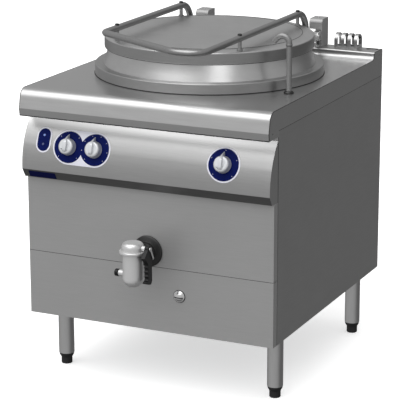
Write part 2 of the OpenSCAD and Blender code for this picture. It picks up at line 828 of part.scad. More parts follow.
module dial_plates() at_rest() color("#E4E4E8") plates(border_w, 0, plate_t);
module dial_faces() at_rest() color("#14186E") plates(0, plate_t + film_gap, plate_t + face_t);
module lamp_lenses() at_rest() for (s = [-1, 1]) color(s > 0 ? "#9FB4E8" : "#3A4690")
    on_panel(lamp_plate_x, lamp_tilt) translate([0, s * lamp_pitch / 2, 0]) {
        cylinder(r = lamp_d / 2, h = plate_t + face_t + 1.2);
        translate([0, 0, -14]) cylinder(r = lamp_d / 2, h = 14);
    }

// The blank blue plate on the panel's underside, at the left
module name_plate() at_rest() color("#23306E") {
    corner = [brow_y, brow_z] + brow_dir * 6;
    across(plate_left_x, plate_right_x) polygon([
        corner, corner - brow_in * 1.2, corner - brow_in * 1.2 + brow_dir * 22, corner + brow_dir * 22]);
}

// A control knob: a round body with a raised grip that runs out into a pointer
module knob(x) at_rest() color("#D2D2D2") on_panel(x, dial_tilt) difference() {
    union() {
        translate([0, 0, knob_foot]) rotate_extrude() polygon([
            [0, 0], [knob_d / 2, 0], [knob_d / 2, 3], [knob_d / 2 - 1, 4], [knob_d / 2 - 1.6, knob_h - 4],
            [knob_d / 2 - 4, knob_h - 1], [knob_d / 2 - 8, knob_h], [0, knob_h]]);
        intersection() {
            rotate([90, 0, 90]) translate([0, 0, -grip_w]) linear_extrude(2 * grip_w) polygon([
                [-17, knob_h - 4], [-15, grip_h - 2], [-10, grip_h], [12, grip_h], [knob_d / 2, grip_h - 8],
                [pointer_r, knob_foot + 5], [pointer_r, knob_foot + 3.4],
                [knob_d / 2 - 3, knob_foot + 3.4]]);
            linear_extrude(grip_h + 1) polygon([
                [-grip_w / 2 + 1, -17], [grip_w / 2 - 1, -17], [grip_w / 2, -12], [grip_w / 2, 8],
                [1.2, pointer_r], [-1.2, pointer_r], [-grip_w / 2, 8], [-grip_w / 2, -12]]);
        }
    }
    translate([0, 0, knob_foot - 1]) cylinder(r = spindle_r + fit, h = 15);
}
module left_knob() knob(dial_left_x);
module middle_knob() knob(dial_middle_x);
module right_knob() knob(dial_right_x);

// A spindle fills the knob's bore and turns in the valve behind the panel
module spindle(x) at_rest() color("#A8A8A8") on_panel(x, dial_tilt)
    translate([0, 0, -valve_depth]) cylinder(r = spindle_r, h = valve_depth + knob_foot + 14 - seat);
module left_spindle() spindle(dial_left_x);
module middle_spindle() spindle(dial_middle_x);
module right_spindle() spindle(dial_right_x);

// The bodies behind the panel: a block with a nose that takes the spindle. The left knob opens
// the gas, the middle one sets the thermostat and the right one opens the water.
module valve_block(x, w, d) on_panel(x, dial_tilt)
    translate([-w / 2, -w / 2, valve_front - d]) cube([w, w, d + 0.5]);
module valve(x, w, d) difference() {
    union() {
        valve_block(x, w, d);
        on_panel(x, dial_tilt) translate([0, 0, valve_front])
            cylinder(r = valve_nose_r, h = -valve_seat - valve_front);
    }
    on_panel(x, dial_tilt) translate([0, 0, -valve_depth - seat])
        cylinder(r = spindle_r + fit, h = valve_depth + 1);
}
module gas_valve() at_rest() color("#A9A9A4") valve(dial_left_x, gas_valve_w, gas_valve_d);
module thermostat() at_rest() color("#8F9094") valve(dial_middle_x, valve_w, valve_d);
module water_valve() at_rest() color("#B59A4A") valve(dial_right_x, valve_w, valve_d);

function port_z(d) = dial_z - (d - valve_front) * sin(dial_tilt);

// A supply pipe, drawn for the left side: up through the tray, forward along the side, up behind
// the front and across to a port of its valve. Two nuts hold it on the tray.
module supply_pipe(port_x, up_z, r) difference() {
    translate([-inlet_x, inlet_y, base_z - inlet_l]) union() {
        bent_bar([
            [-90, run_z - base_z + inlet_l - supply_bend, 90, supply_bend],
            [180, inlet_y - run_y - 2 * supply_bend, 90, supply_bend],
            [-90, up_z - run_z - 2 * supply_bend, 90, supply_bend],
            [-90, inlet_x - port_x - supply_bend - port_bend, 90, port_bend],
            [0, run_y - port_bend - port_y]], r);
        for (z = [-inlet_nut_h, tray_t]) translate([0, 0, inlet_l + z])
            cylinder(r = r + inlet_nut, h = inlet_nut_h, $fn = 6);
    }
    translate([-inlet_x, inlet_y, base_z - inlet_l - 1]) cylinder(r = r - 2, h = inlet_l + 20);
}
module gas_pipe() at_rest() color("#B9A24E") difference() {
    supply_pipe(-dial_left_x + gas_port, port_z(gas_valve_d), gas_d / 2);
    valve_block(dial_left_x, gas_valve_w, gas_valve_d);
}
module burner_pipe() at_rest() color("#B4774A") difference() {
    translate([dial_left_x + gas_port, port_y, port_z(gas_valve_d)]) rotate([-90, 0, 0]) bent_bar([
        [90, feed_y - port_y - feed_bend, 90, feed_bend],
        [-90, port_z(gas_valve_d) - feed_z - 2 * feed_bend, 90, feed_bend],
        [-90, -burner_in - dial_left_x - gas_port - 2 * feed_bend, 90, feed_bend],
        [90, burner_in_y - feed_y - feed_bend - feed_rise, 90, feed_rise],
        [0, burner_z - burner_tube_d / 2 - feed_z - feed_rise]], feed_d / 2);
    valve_block(dial_left_x, gas_valve_w, gas_valve_d);
}
module water_pipes() at_rest() color("#B4774A") difference() {
    union() {
        mirror([1, 0, 0]) supply_pipe(dial_right_x + water_port, port_z(valve_d), water_d / 2);
        translate([dial_right_x - water_port, port_y, port_z(valve_d)]) rotate([-90, 0, 0]) bent_bar([
            [0, spout_run_y - port_y - feed_bend, 90, feed_bend],
            [180, spout_x - dial_right_x + water_port - 2 * feed_bend, 90, feed_bend],
            [90, spout_y - spout_run_y - 2 * feed_bend, 90, feed_bend],
            [0, top_z - spout_below - seat - port_z(valve_d) - feed_bend]], water_d / 2);
    }
    valve_block(dial_right_x, valve_w, valve_d);
}

module spout_flange() at_rest() color("#9A9A9A") translate([spout_x, spout_y, top_z]) difference() {
    rotate_extrude() polygon([
        [0, 0], [spout_flange_r, 0], [spout_flange_r, 2], [spout_r + 3, spout_flange_h],
        [0, spout_flange_h]]);
    translate([0, 0, -1]) cylinder(r = spout_r + fit, h = spout_flange_h + 2);
}

// The spout: a riser, a gooseneck and a nozzle that points down and in
module spout_run(r, over) translate([spout_x, spout_y, top_z - spout_below]) bent_bar([
    [180, spout_below + spout_h, neck_turn, neck_r],
    [0, nozzle_l]], r, over, fit);
module spout() at_rest() color("#8A8A8A") difference() {
    spout_run(spout_r, 0);
    spout_run(spout_r - spout_t, 1);
}

// A leg: a tube with a closed top and a threaded insert at its foot
function leg_places() = [for (y = [leg_front_y, leg_rear_y]) for (x = [-leg_x, leg_x]) [x, y]];
module leg() difference() {
    union() {
        difference() {
            translate([0, 0, leg_low_z]) cylinder(r = leg_d / 2, h = base_z - leg_low_z);
            translate([0, 0, leg_low_z - 1]) cylinder(r = leg_d / 2 - leg_t, h = base_z - leg_low_z - 3);
        }
        translate([0, 0, leg_low_z]) cylinder(r = leg_d / 2 - 1, h = insert_h);
    }
    translate([0, 0, leg_low_z - 1]) cylinder(r = stem_r_leg + fit, h = insert_h + 2);
}
module legs() at_rest() color("#9A9A9A") for (p = leg_places()) translate([p[0], p[1], 0]) leg();

// A foot: pad, bevelled collar and the stem that screws into the leg
module foot(i) at_rest() color("#1C1C1C") translate([leg_places()[i][0], leg_places()[i][1], 0]) {
    r = foot_d / 2;
    top = leg_low_z - seat;
    rotate_extrude() polygon([
        [0, 0], [r - 1, 0], [r, 1.5], [r, top - 15], [r + 1, top - 13], [leg_d / 2 - 1.5, top - 5],
        [leg_d / 2 - 1.5, top], [stem_r_leg, top], [stem_r_leg, top + stem_l], [0, top + stem_l]]);
}
module foot_front_left() foot(0);
module foot_front_right() foot(1);
module foot_rear_left() foot(2);
module foot_rear_right() foot(3);

// The hinge housings are the same hand, so both stand left of their arms
module at_hinges() for (s = [-1, 1]) translate([s * arm_x, 0, 0]) children();
module housing_outline(k) difference() {
    polygon([
        [housing_y + k, rail_z - (k > 0 ? 1 : 0)], [housing_y + k, top_z + housing_h - k],
        [unit_d - k, top_z + housing_h - k], [unit_d - k, rail_z - (k > 0 ? 1 : 0)]]);
    translate([housing_y + housing_edge_r, top_z + housing_h - housing_edge_r])
        corner_cut(housing_edge_r - k, [-1, 1]);
}
module hinge_housings() at_rest() color("#858585") at_hinges() {
    x0 = -housing_shift - housing_w / 2;
    x1 = x0 + housing_w;
    lip_z = top_z + housing_h - housing_lip;
    difference() {
        across(x0, x1) housing_outline(0);
        across(x0 - 1, x1 - sheet_t) housing_outline(sheet_t);
        block([x0 - 1, housing_y - 1, rail_z - 1], [x1 - 9, housing_y + sheet_t + 1, lip_z]);
        block([x0 - 1, housing_y - 1, hinge_z - eye_r - 1],
              [cheek_x + cheek_t + 0.5, housing_y + sheet_t + 1, lip_z]);
        translate([x0 + 20, unit_d - 26, top_z + housing_h - sheet_t - 1]) cylinder(r = 2, h = sheet_t + 2);
    }
}
module housing_screws() at_rest() color("#B4B4B4") at_hinges()
    translate([-housing_shift - housing_w / 2 + 20, unit_d - 26, top_z + housing_h]) difference() {
        union() {
            cylinder(r = 4, h = 2);
            translate([0, 0, -8]) cylinder(r = 2, h = 8 + eps);
        }
        translate([-5, -0.6, 1]) cube([10, 1.2, 2]);
    }

// The fixed bracket: a foot on the rail and two cheeks that reach forward to the pin
module hinge_brackets() at_rest() color("#7C7C7C") at_hinges() difference() {
    union() {
        for (x = [-cheek_x - cheek_t, cheek_x]) across(x, x + cheek_t) {
            translate([hinge_y, hinge_z]) circle(eye_r);
            polygon([
                [hinge_y, hinge_z + eye_r], [hinge_y, hinge_z - eye_r], [housing_y + 6, hinge_z - eye_r],
                [housing_y + 6, rail_z], [unit_d - 8, rail_z], [unit_d - 8, hinge_z - 6],
                [housing_y + 14, hinge_z + eye_r]]);
        }
        block([-cheek_x - cheek_t, housing_y + 6, rail_z],
              [cheek_x + cheek_t, unit_d - 8, rail_z + bracket_base_t]);
    }
    translate([-cheek_x - cheek_t - 1, hinge_y, hinge_z]) rotate([0, 90, 0])
        cylinder(r = pin_r + fit, h = 2 * (cheek_x + cheek_t) + 2);
}
module hinge_pins() at_rest() color("#BEBEBE") at_hinges()
    translate([0, hinge_y, hinge_z]) rotate([0, 90, 0]) {
        h = cheek_x + cheek_t;
        translate([0, 0, -h - 3]) cylinder(r = pin_r, h = 2 * h + 6);
        for (z = [-h - 3, h + seat]) translate([0, 0, z]) cylinder(r = pin_r + 3, h = 2.7);
    }

// The lever of the lid: an eye on the pin, an arm and a socket for the handle's leg
module hinge_levers() at_rest() color("#848484") at_hinges() difference() {
    union() {
        across(-lever_t / 2, lever_t / 2) {
            translate([hinge_y, hinge_z]) circle(eye_r);
            translate([arm_leg_y, hinge_z - eye_r]) square([arm_leg_back, 2 * eye_r]);
        }
        translate([0, arm_leg_y, socket_low_z]) cylinder(r = socket_r, h = socket_top_z - socket_low_z);
    }
    translate([-lever_t, hinge_y, hinge_z]) rotate([0, 90, 0]) cylinder(r = pin_r + fit, h = 2 * lever_t);
    translate([0, arm_leg_y, arm_low_z]) cylinder(r = handle_r + fit, h = 60);
}

// The lid's outer shell
module lid_section(k) {
    polygon([
        [0, lid_low_z + (k > 0 ? k : 0)], [lid_r - 1.5 - k, lid_low_z + (k > 0 ? k : 0)],
        [lid_r - k, lid_low_z + 1.5], [lid_r - k, lid_edge_z - edge_r],
        [lid_r - edge_r * 0.3 - k, lid_edge_z - edge_r * 0.3],
        [lid_r - edge_r - k * 0.5, lid_edge_z - k], [lid_flat_r, lid_top_z - k], [0, lid_top_z - k]]);
}
module lid_shell() at_rest() color("#8E8E8E") translate([0, pan_y, 0])
    rotate_extrude($fn = 180) difference() {
        lid_section(0);
        lid_section(lid_t);
        translate([-1, lid_low_z - 1]) square([lid_hem_r + 1, lid_t + 2]);
    }
module lid_liner() at_rest() color("#A2A2A2") translate([0, pan_y, 0])
    rotate_extrude($fn = 180) polygon([
        [0, liner_z], [lid_hem_r + seat, liner_z], [lid_hem_r + seat, lid_low_z + lid_t],
        [lid_r - lid_t - 2, lid_low_z + lid_t], [lid_r - lid_t - 2, lid_low_z + 2 * lid_t],
        [lid_hem_r + seat + lid_t, lid_low_z + 2 * lid_t], [lid_hem_r + seat + lid_t, liner_z + lid_t],
        [0, liner_z + lid_t]]);
module lid_gasket() at_rest() color("#D8D8D0") translate([0, pan_y, 0])
    rotate_extrude($fn = 180) translate([gasket_out_r - gasket_w, rim_z + seat])
        square([gasket_w, liner_up - seat]);

// The handle: two arms and an oblique bar, all one tube from socket to socket
module handle_run(r, over) translate([arm_x, arm_leg_y, arm_low_z]) bent_bar([
    [-90, arm_leg_l, 90, arm_bend_r],
    [-90, arm_right_l, 90, bar_right_r],
    [0, bar_straight, bar_angle, bar_mid_r],
    [0, bar_l, 90 - bar_angle, bar_left_r],
    [90, arm_left_l, 90, arm_bend_r],
    [0, arm_leg_l]], r, over, fit);
module handle() at_rest() color("#828282") difference() {
    handle_run(handle_r, 0);
    handle_run(handle_r - handle_t, 1);
}

function stud_places() = [for (x = [-arm_x, arm_x]) for (y = [stud_front_y, stud_rear_y]) [x, y]];
module handle_envelope() for (s = [-1, 1]) translate([s * arm_x, 100, handle_z])
    rotate([-90, 0, 0]) cylinder(r = handle_r + 2 * fit, h = unit_d);
module lid_envelope() translate([0, pan_y, 0]) rotate_extrude($fn = 180) lid_section(0);
module handle_studs() at_rest() color("#B8B8B8") for (p = stud_places()) difference() {
    translate([p[0], p[1], lid_edge_z - 4]) {
        cylinder(r = stud_foot_d / 2, h = 4 + lid_rise + 2);
        cylinder(r = stud_d / 2, h = handle_z - lid_edge_z);
    }
    lid_envelope();
    handle_envelope();
}
module stud_caps() at_rest() color("#565656") for (p = stud_places()) difference() {
    translate([p[0], p[1], handle_z + handle_r - 2]) {
        cylinder(r = stud_cap_d / 2, h = 4);
        translate([0, 0, 4 - eps])
            cylinder(r1 = stud_cap_d / 2, r2 = stud_cap_d / 2 - 1.5, h = 1.5, $fn = 48);
    }
    handle_envelope();
    translate([p[0], p[1], handle_z + handle_r + 1.5]) cylinder(r = 2.6, h = 4, $fn = 6);
}

// The drain: a pipe from the vessel through the front to the tap
module drain_pipe() at_rest() color("#9A9A9A") difference() {
    translate([0, pan_y - vessel_r + vessel_corner_r, drain_z]) rotate([90, 0, 0])
        cylinder(r = drain_d / 2, h = pan_y - vessel_r + vessel_corner_r + tap_out - tap_r + 4);
    translate([0, pan_y, drain_z]) rotate([90, 0, 0])
        cylinder(r = drain_d / 2 - drain_t, h = pan_y + tap_out);
    translate([0, pan_y, 0]) rotate_extrude($fn = 180) intersection() {
        vessel_outline();
        square([half_w, rim_z]);
    }
    translate([0, tap_y, 0]) tap_outside();
}
module tap_flange() at_rest() color("#1A1A1A")
    translate([0, front_y, drain_z]) rotate([90, 0, 0]) difference() {
        rotate_extrude() polygon([
            [0, 0], [flange_r, 0], [flange_r, 3], [flange_r - 3, 6], [drain_d / 2 + 9, 10],
            [drain_d / 2 + 6, flange_h], [0, flange_h]]);
        translate([0, 0, -1]) cylinder(r = drain_d / 2 + fit, h = flange_h + 2);
    }

// The tap's body: a pot with an inlet at the back, a seat and an outlet below, and a side stub
module tap_outside() rotate_extrude() polygon([
    [0, tap_low_z], [outlet_r + 2.5, tap_low_z], [tap_r - 4, tap_low_z + 9],
    [tap_r - 1.2, tap_low_z + 16], [tap_r, tap_low_z + 24], [tap_r, collar_z - 2],
    [collar_r - 1, collar_z], [collar_r, collar_z + 1.5], [collar_r, collar_z + collar_t - 1.5],
    [collar_r - 1.5, collar_z + collar_t], [0, collar_z + collar_t]]);
module tap_body() at_rest() color("#8E8E8E") translate([0, tap_y, 0]) difference() {
    union() {
        tap_outside();
        translate([0, 0, stub_z]) rotate([0, -90, 0]) cylinder(r = stub_r, h = stub_reach);
    }
    translate([0, 0, tap_low_z - 1]) cylinder(r = outlet_r, h = seat_z - tap_low_z + 2);
    translate([0, 0, seat_z]) cylinder(r = cavity_r, h = collar_z + collar_t - seat_z + 1);
    translate([0, 0, drain_z]) rotate([-90, 0, 0]) cylinder(r = drain_d / 2 - drain_t, h = tap_r + 10);
    translate([0, 0, stub_z]) rotate([0, -90, 0]) cylinder(r = stub_r - 3, h = stub_reach + 1);
}

// The cap: a dome with a boss for the lever's pin at its right
module tap_cap() at_rest() color("#C4C4C4") translate([0, tap_y, 0]) difference() {
    union() {
        rotate_extrude() polygon([
            [0, cap_z], [tap_r + 2.5, cap_z], [tap_r + 2.5, cap_z + cap_h * 0.45],
            [tap_r, cap_z + cap_h * 0.75], [tap_r - 5, cap_z + cap_h * 0.93], [tap_r - 10, cap_z + cap_h],
            [0, cap_z + cap_h]]);
        translate([0, 0, lever_z]) rotate([0, 90, 0]) cylinder(r = 8, h = lever_x - 1);
    }
    translate([0, 0, cap_z - 1]) cylinder(r = stem_r + fit, h = cap_h - 4);
    translate([tap_r - 6, 0, lever_z]) rotate([0, 90, 0]) cylinder(r = lever_pin_d / 2, h = 40);
    translate([0, 0, cap_z - 1]) cylinder(r = plunger_r, h = 1 + seat);
}

// The plunger: a disc on the seat with a stem that is guided by the cap
module tap_plunger() at_rest() color("#A8A8A8") translate([0, tap_y, 0]) union() {
    translate([0, 0, seat_z + seat]) cylinder(r = plunger_r, h = 6);
    translate([0, 0, seat_z + seat])
        cylinder(r = stem_r, h = cap_z + cap_h - 6 - plunger_lift - seat_z - seat);
}

// The lever: finger waves along its front edge, rounded over the pin
module tap_lever() at_rest() color("#1A1A1A") translate([0, tap_y, lever_z]) difference() {
    union() {
        across(lever_x, lever_x + tap_lever_t) circle(11);
        across(lever_x, lever_x + tap_lever_t) polygon([
            [-10.9, 0], [10.9, 0], [15, -24], [14, -60], [15, -tap_lever_l + 12], [8, -tap_lever_l],
            [-8, -tap_lever_l + 4], [-24, -tap_lever_l + 10], [-20, -tap_lever_l + 22],
            [-12, -46], [-18, -34], [-34, -20], [-20, -8]]);
    }
    for (i = [0:wave_count - 1]) across(lever_x - 1, lever_x + tap_lever_t + 1)
        translate([-19 + 0.4 * i, -46 - i * 13]) circle(7.5);
    translate([lever_x - 1, 0, 0]) rotate([0, 90, 0])
        cylinder(r = lever_pin_d / 2 + fit, h = tap_lever_t + 2);
}

// The lever's pin with a bright keeper strap that reaches down and back from its head
module lever_pin() at_rest() color("#C8C8C8") translate([0, tap_y, lever_z]) {
    head_x = lever_x + tap_lever_t + seat;
    union() {
        translate([tap_r - 6, 0, 0]) rotate([0, 90, 0])
            cylinder(r = lever_pin_d / 2, h = head_x + strap_t - tap_r + 6);
        translate([head_x, 0, 0]) rotate([0, 90, 0]) cylinder(r = 6.5, h = strap_t);
        across(head_x, head_x + strap_t) polygon([[-3, -3], [3, 3], [21, -31], [15, -35]]);
    }
}
module stub_cap() at_rest() color("#161616") translate([-stub_reach, tap_y, stub_z]) rotate([0, -90, 0])
    rotate_extrude() polygon([
        [0, 0], [stub_r + 1, 0], [stub_r + 1, stub_cap_l - 2], [stub_r - 1, stub_cap_l], [0, stub_cap_l]]);

// The plug in the lower front panel: a bright disc with a slot across a round recess
module drain_plug() at_rest() color("#BDBDBD")
    translate([plug_x, front_y, plug_z]) rotate([90, 0, 0]) difference() {
        rotate_extrude() polygon([
            [0, -12], [plug_r - 4, -12], [plug_r - 4, 0], [plug_r, 0], [plug_r, 2.5],
            [plug_r - 2, 4], [0, 4]]);
        translate([0, 0, 2]) cylinder(r = plug_r - 6, h = 3);
        translate([-plug_r + 6, -2, -1]) cube([2 * plug_r - 12, 4, 5]);
    }

// The small screws in the worktop's two ends, at the rail and at the front
module end_screw_places() for (s = [-1, 1]) for (p = [rear_screw, front_screw])
    translate([s * (half_w + 1), p[0], p[1]]) rotate([0, -s * 90, 0]) children();
module end_screws() at_rest() color("#5A5A5A") end_screw_places()
    translate([0, 0, 1.6]) cylinder(r = end_screw_r, h = 8);

worktop();
well_ring();
vessel();
insulation();
combustion_chamber();
burner();
burner_stand();
flue_duct();
flue_guard();
left_side_panel();
right_side_panel();
back_panel();
base_tray();
upper_front_panel();
lower_front_panel();
control_panel();
name_plate();
dial_plates();
dial_faces();
lamp_lenses();
gas_valve();
thermostat();
water_valve();
gas_pipe();
burner_pipe();
water_pipes();
spout_flange();
spout();
legs();
foot_front_left();
foot_front_right();
foot_rear_left();
foot_rear_right();
hinge_housings();
hinge_brackets();
hinge_pins();
housing_screws();
lid_shell();
lid_liner();
lid_gasket();
handle();
handle_studs();
stud_caps();
hinge_levers();
left_knob();
middle_knob();
right_knob();
left_spindle();
middle_spindle();
right_spindle();
drain_pipe();
tap_flange();
tap_body();
tap_cap();
tap_plunger();
tap_lever();
lever_pin();
stub_cap();
drain_plug();
end_screws();
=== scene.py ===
import json
import math

import bmesh
import bpy
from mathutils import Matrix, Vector


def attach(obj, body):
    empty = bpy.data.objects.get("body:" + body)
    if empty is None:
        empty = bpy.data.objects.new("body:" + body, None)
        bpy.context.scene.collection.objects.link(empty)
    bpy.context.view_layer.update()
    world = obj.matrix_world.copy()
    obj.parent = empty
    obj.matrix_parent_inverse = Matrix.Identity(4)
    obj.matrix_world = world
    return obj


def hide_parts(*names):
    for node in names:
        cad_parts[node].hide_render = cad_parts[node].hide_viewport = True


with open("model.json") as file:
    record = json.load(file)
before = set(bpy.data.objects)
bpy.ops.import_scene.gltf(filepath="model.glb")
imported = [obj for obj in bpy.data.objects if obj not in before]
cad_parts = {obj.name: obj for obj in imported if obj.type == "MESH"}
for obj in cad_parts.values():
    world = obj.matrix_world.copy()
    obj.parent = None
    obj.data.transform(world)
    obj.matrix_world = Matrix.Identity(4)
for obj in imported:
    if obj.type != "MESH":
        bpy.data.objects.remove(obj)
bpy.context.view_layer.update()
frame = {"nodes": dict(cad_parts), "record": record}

NODES = frame["nodes"]
NODE_BODY = {n: b for b, members in frame["record"]["behaviour"]["bodies"].items() for n in members}
NODE_SLOT = {s["node"]: s["material_slot"] for s in frame["record"]["subparts"]}

# Sizes are in millimetres, with y counted from the worktop's front edge as on the drawing. That edge
# is FRONT before the frame's origin.
FRONT = 409.5
TOP_Z = 900.0
SKIRT_Z = 838.0
PAN_Y = 470.8
DIAL_Z = 735.0
# the control panel bulges as a part of a cylinder
BULGE_R, BULGE_Y, BULGE_Z = 214.0, 223.4, 663.8
DIAL_TILT = math.asin((DIAL_Z - BULGE_Z) / BULGE_R)


def at(x, y, z):
    """A place on the drawing, in metres in the frame."""
    return Vector((x, y - FRONT, z)) / 1000


def mm(value):
    """Millimetres as metres."""
    return value / 1000


def round_turns(count):
    """The angles of points spread evenly round a circle."""
    return [2 * math.pi * i / count for i in range(count)]


def on_panel(x, up, out):
    """A place on the bulging panel: up is counted over its surface from the dials' centres."""
    tilt = DIAL_TILT + up / BULGE_R
    return (x, BULGE_Y - (BULGE_R + out) * math.cos(tilt), BULGE_Z + (BULGE_R + out) * math.sin(tilt))


def from_pan(place):
    """How far a place is from the pan's upright axis."""
    return math.hypot(place.x, place.y - PAN_Y)


# Camera, fitted to the cabinet's edges and the pan's circles in the picture
AZIMUTH, ELEVATION = math.radians(24.83), math.radians(15.14)
AIM = Vector((-0.03136, 0.12856, 0.49949))
DISTANCE = 6.0907
PICTURE_PX = 400
FOCAL_PX = 1932.3
CENTRE_X_PX, CENTRE_Y_PX = 209.49, 190.92
SENSOR_MM = 36


def place_camera():
    eye = bpy.data.cameras.new("photo_camera")
    eye.sensor_width = SENSOR_MM
    eye.lens = FOCAL_PX / PICTURE_PX * SENSOR_MM
    eye.shift_x = (PICTURE_PX / 2 - CENTRE_X_PX) / PICTURE_PX
    eye.shift_y = (CENTRE_Y_PX - PICTURE_PX / 2) / PICTURE_PX
    eye.clip_start, eye.clip_end = 0.1, 100
    camera = bpy.data.objects.new("photo_camera", eye)
    bpy.context.scene.collection.objects.link(camera)
    away = Vector((math.sin(AZIMUTH) * math.cos(ELEVATION), -math.cos(AZIMUTH) * math.cos(ELEVATION),
                   math.sin(ELEVATION)))
    camera.location = AIM + away * DISTANCE
    camera.rotation_euler = (-away).to_track_quat("-Z", "Y").to_euler()
    bpy.context.scene.camera = camera


place_camera()

# Materials
# how wide the clouds on the metal are, and how far a bump lifts the surface, in metres
CLOUD_MM = 140
BUMP_DEPTH = 0.0002


def linear(hex_colour):
    """An sRGB hex value as the linear colour that the shader takes."""
    digits = hex_colour.lstrip("#")
    out = []
    for i in (0, 2, 4):
        c = int(digits[i:i + 2], 16) / 255
        out.append(c / 12.92 if c <= 0.04045 else ((c + 0.055) / 1.055) ** 2.4)
    return (*out, 1.0)


def add(tree, kind, settings=None, stops=None, **links):
    """One node in a tree, with its settings and what feeds its inputs. An input goes by its name, or by
    its number as i0, i1 and so on, and takes a socket or a value. Stops are a ramp's (position, sRGB hex
    or grey value)."""
    node = tree.nodes.new(kind)
    for key, value in (settings or {}).items():
        setattr(node, key, value)
    if stops:
        elements = node.color_ramp.elements
        while len(elements) < len(stops):
            elements.new(0.5)
        for element, (position, colour) in zip(elements, stops):
            element.position = position
            element.color = linear(colour) if isinstance(colour, str) else (colour, colour, colour, 1)
    for key, value in links.items():
        numbered = key[0] == "i" and key[1:].isdigit()
        socket = node.inputs[int(key[1:]) if numbered else key.replace("_", " ")]
        if isinstance(value, bpy.types.NodeSocket):
            tree.links.new(value, socket)
        else:
            socket.default_value = value
    return node


def start(name, roughness, metallic=0.0, **sockets):
    """An empty material with its shader, and the place of each point in metres."""
    material = bpy.data.materials.new(name)
    material.use_nodes = True
    tree = material.node_tree
    tree.nodes.clear()
    shader = add(tree, "ShaderNodeBsdfPrincipled", Roughness=roughness, Metallic=metallic, **sockets)
    add(tree, "ShaderNodeOutputMaterial", Surface=shader.outputs[0])
    place = add(tree, "ShaderNodeTexCoord").outputs["Object"]
    return material, tree, shader, place


def coat(tree, shader, pattern, stops, rough_range, height, bump):
    """Lets a pattern set the shader's colour and roughness, and a height lift its surface a little."""
    tone = add(tree, "ShaderNodeValToRGB", stops=stops, Fac=pattern)
    tree.links.new(tone.outputs["Color"], shader.inputs["Base Color"])
    rough = add(tree, "ShaderNodeMapRange", Value=pattern, From_Min=0.3, From_Max=0.7,
                To_Min=rough_range[0], To_Max=rough_range[1])
    tree.links.new(rough.outputs[0], shader.inputs["Roughness"])
    lift = add(tree, "ShaderNodeBump", Height=height, Strength=bump, Distance=BUMP_DEPTH)
    tree.links.new(lift.outputs[0], shader.inputs["Normal"])


def grained_metal(name, dark, light, roughness, grain_mm, bump, stain=0.25, metallic=1.0):
    """Metal with fine lines: grain_mm is the size of one line along x, y and z."""
    material, tree, shader, place = start(name, roughness, metallic)
    stretched = add(tree, "ShaderNodeMapping", Vector=place, Scale=tuple(1000 / g for g in grain_mm))
    lines = add(tree, "ShaderNodeTexNoise", Vector=stretched.outputs[0], Scale=1.0, Detail=3.0,
                Roughness=0.6)
    # handling and rolling leave soft cloudy differences a hand's breadth across
    clouds = add(tree, "ShaderNodeTexNoise", Vector=place, Scale=1000 / CLOUD_MM, Detail=2.0, Roughness=0.5)
    weight = add(tree, "ShaderNodeMath", {"operation": "MULTIPLY"}, i0=lines.outputs[0], i1=1 - stain)
    mixed = add(tree, "ShaderNodeMath", {"operation": "MULTIPLY_ADD"}, i0=clouds.outputs[0], i1=stain,
                i2=weight.outputs[0])
    coat(tree, shader, mixed.outputs[0], [(0.25, dark), (0.75, light)],
         (roughness - 0.02, roughness + 0.03), lines.outputs[0], bump)
    return material


def moulded(name, dark, light, roughness, speck_mm, bump, **sockets):
    """Plastic, rubber, film or wool with fine even specks, as the orange peel of a mould."""
    material, tree, shader, place = start(name, roughness, 0.0, **sockets)
    peel = add(tree, "ShaderNodeTexNoise", Vector=place, Scale=1000 / speck_mm, Detail=4.0, Roughness=0.6)
    coat(tree, shader, peel.outputs[0], [(0.3, dark), (0.7, light)], (roughness - 0.04, roughness + 0.06),
         peel.outputs[0], bump)
    return material


# 1.4301 stainless sheet with a satin belt grind along its length: soft level streaks, no mirror
SATIN = grained_metal("satin_stainless", "#BFBFBF", "#CACACA", 0.30, (90, 6, 6), 0.008)
# the front trays, the back and the hinge housings keep the mill finish: a shade darker and duller
MILL = grained_metal("mill_finish_stainless", "#AEAEAE", "#B6B6B6", 0.52, (60, 3, 3), 0.06, 0.25, 0.7)
# the fold under the fascia leans back and faces a little downwards, so its band is painted darker and
# duller than the ground sheet: painted shade
FOLD_SHADE = grained_metal("unground_fold", "#A7A7A7", "#B2B2B2", 0.46, (60, 3, 3), 0.08)
# the mill sheet of the cabinet's sides was rolled from front to back
SIDE = grained_metal("mill_finish_side", "#B5B5B5", "#C0C0C0", 0.42, (3, 60, 3), 0.08)
# the control panel has a finer grind in shorter lines, which blurs what it mirrors
PANEL = grained_metal("bright_satin_panel", "#A0A0A0", "#ABABAB", 0.34, (60, 2, 2), 0.06, 0.15, 0.75)
# its downward-facing underside is painted much darker as painted shade under the panel's bulge
BROW_SHADE = grained_metal("dull_panel_underside", "#737373", "#7F7F7F", 0.50, (60, 3, 3), 0.08)
# the lid is spun and ground: duller, with broad soft clouds
SPUN = grained_metal("spun_stainless", "#BFBFBF", "#CCCCCC", 0.36, (30, 30, 4), 0.06, 0.5)
# the vessel's rim and flare are drawn and polished: streakier highlights
FLARE = grained_metal("drawn_rim_stainless", "#BCBCBC", "#C9C9C9", 0.30, (40, 40, 12), 0.02, 0.5)
# the ring is the same sheet as the rim in a darker copy: painted shade for its upright wall
RING_SHADE = grained_metal("drawn_ring_stainless", "#A4A4A4", "#AFAFAF", 0.34, (40, 40, 12), 0.02, 0.5)
# the lid's upright wall is a darker copy of the lid's finish: painted shade on the upright sides below the
# lit top
WALL_SHADE = grained_metal("turned_lid_wall", "#999999", "#A5A5A5", 0.36, (30, 30, 4), 0.06, 0.5)
# the vessel's inside and the lid's liner are ground matt to clean well: soft and even
INSIDE = grained_metal("matt_ground_inside", "#C3C3C3", "#CFCFCF", 0.42, (30, 30, 6), 0.03, 0.4, 0.45)
# the legs' tube is welded and ground lengthwise, and the flue guard's strips with it
LEG = grained_metal("ground_leg_tube", "#BDBDBD", "#C9C9C9", 0.32, (6, 6, 60), 0.01, 0.3)
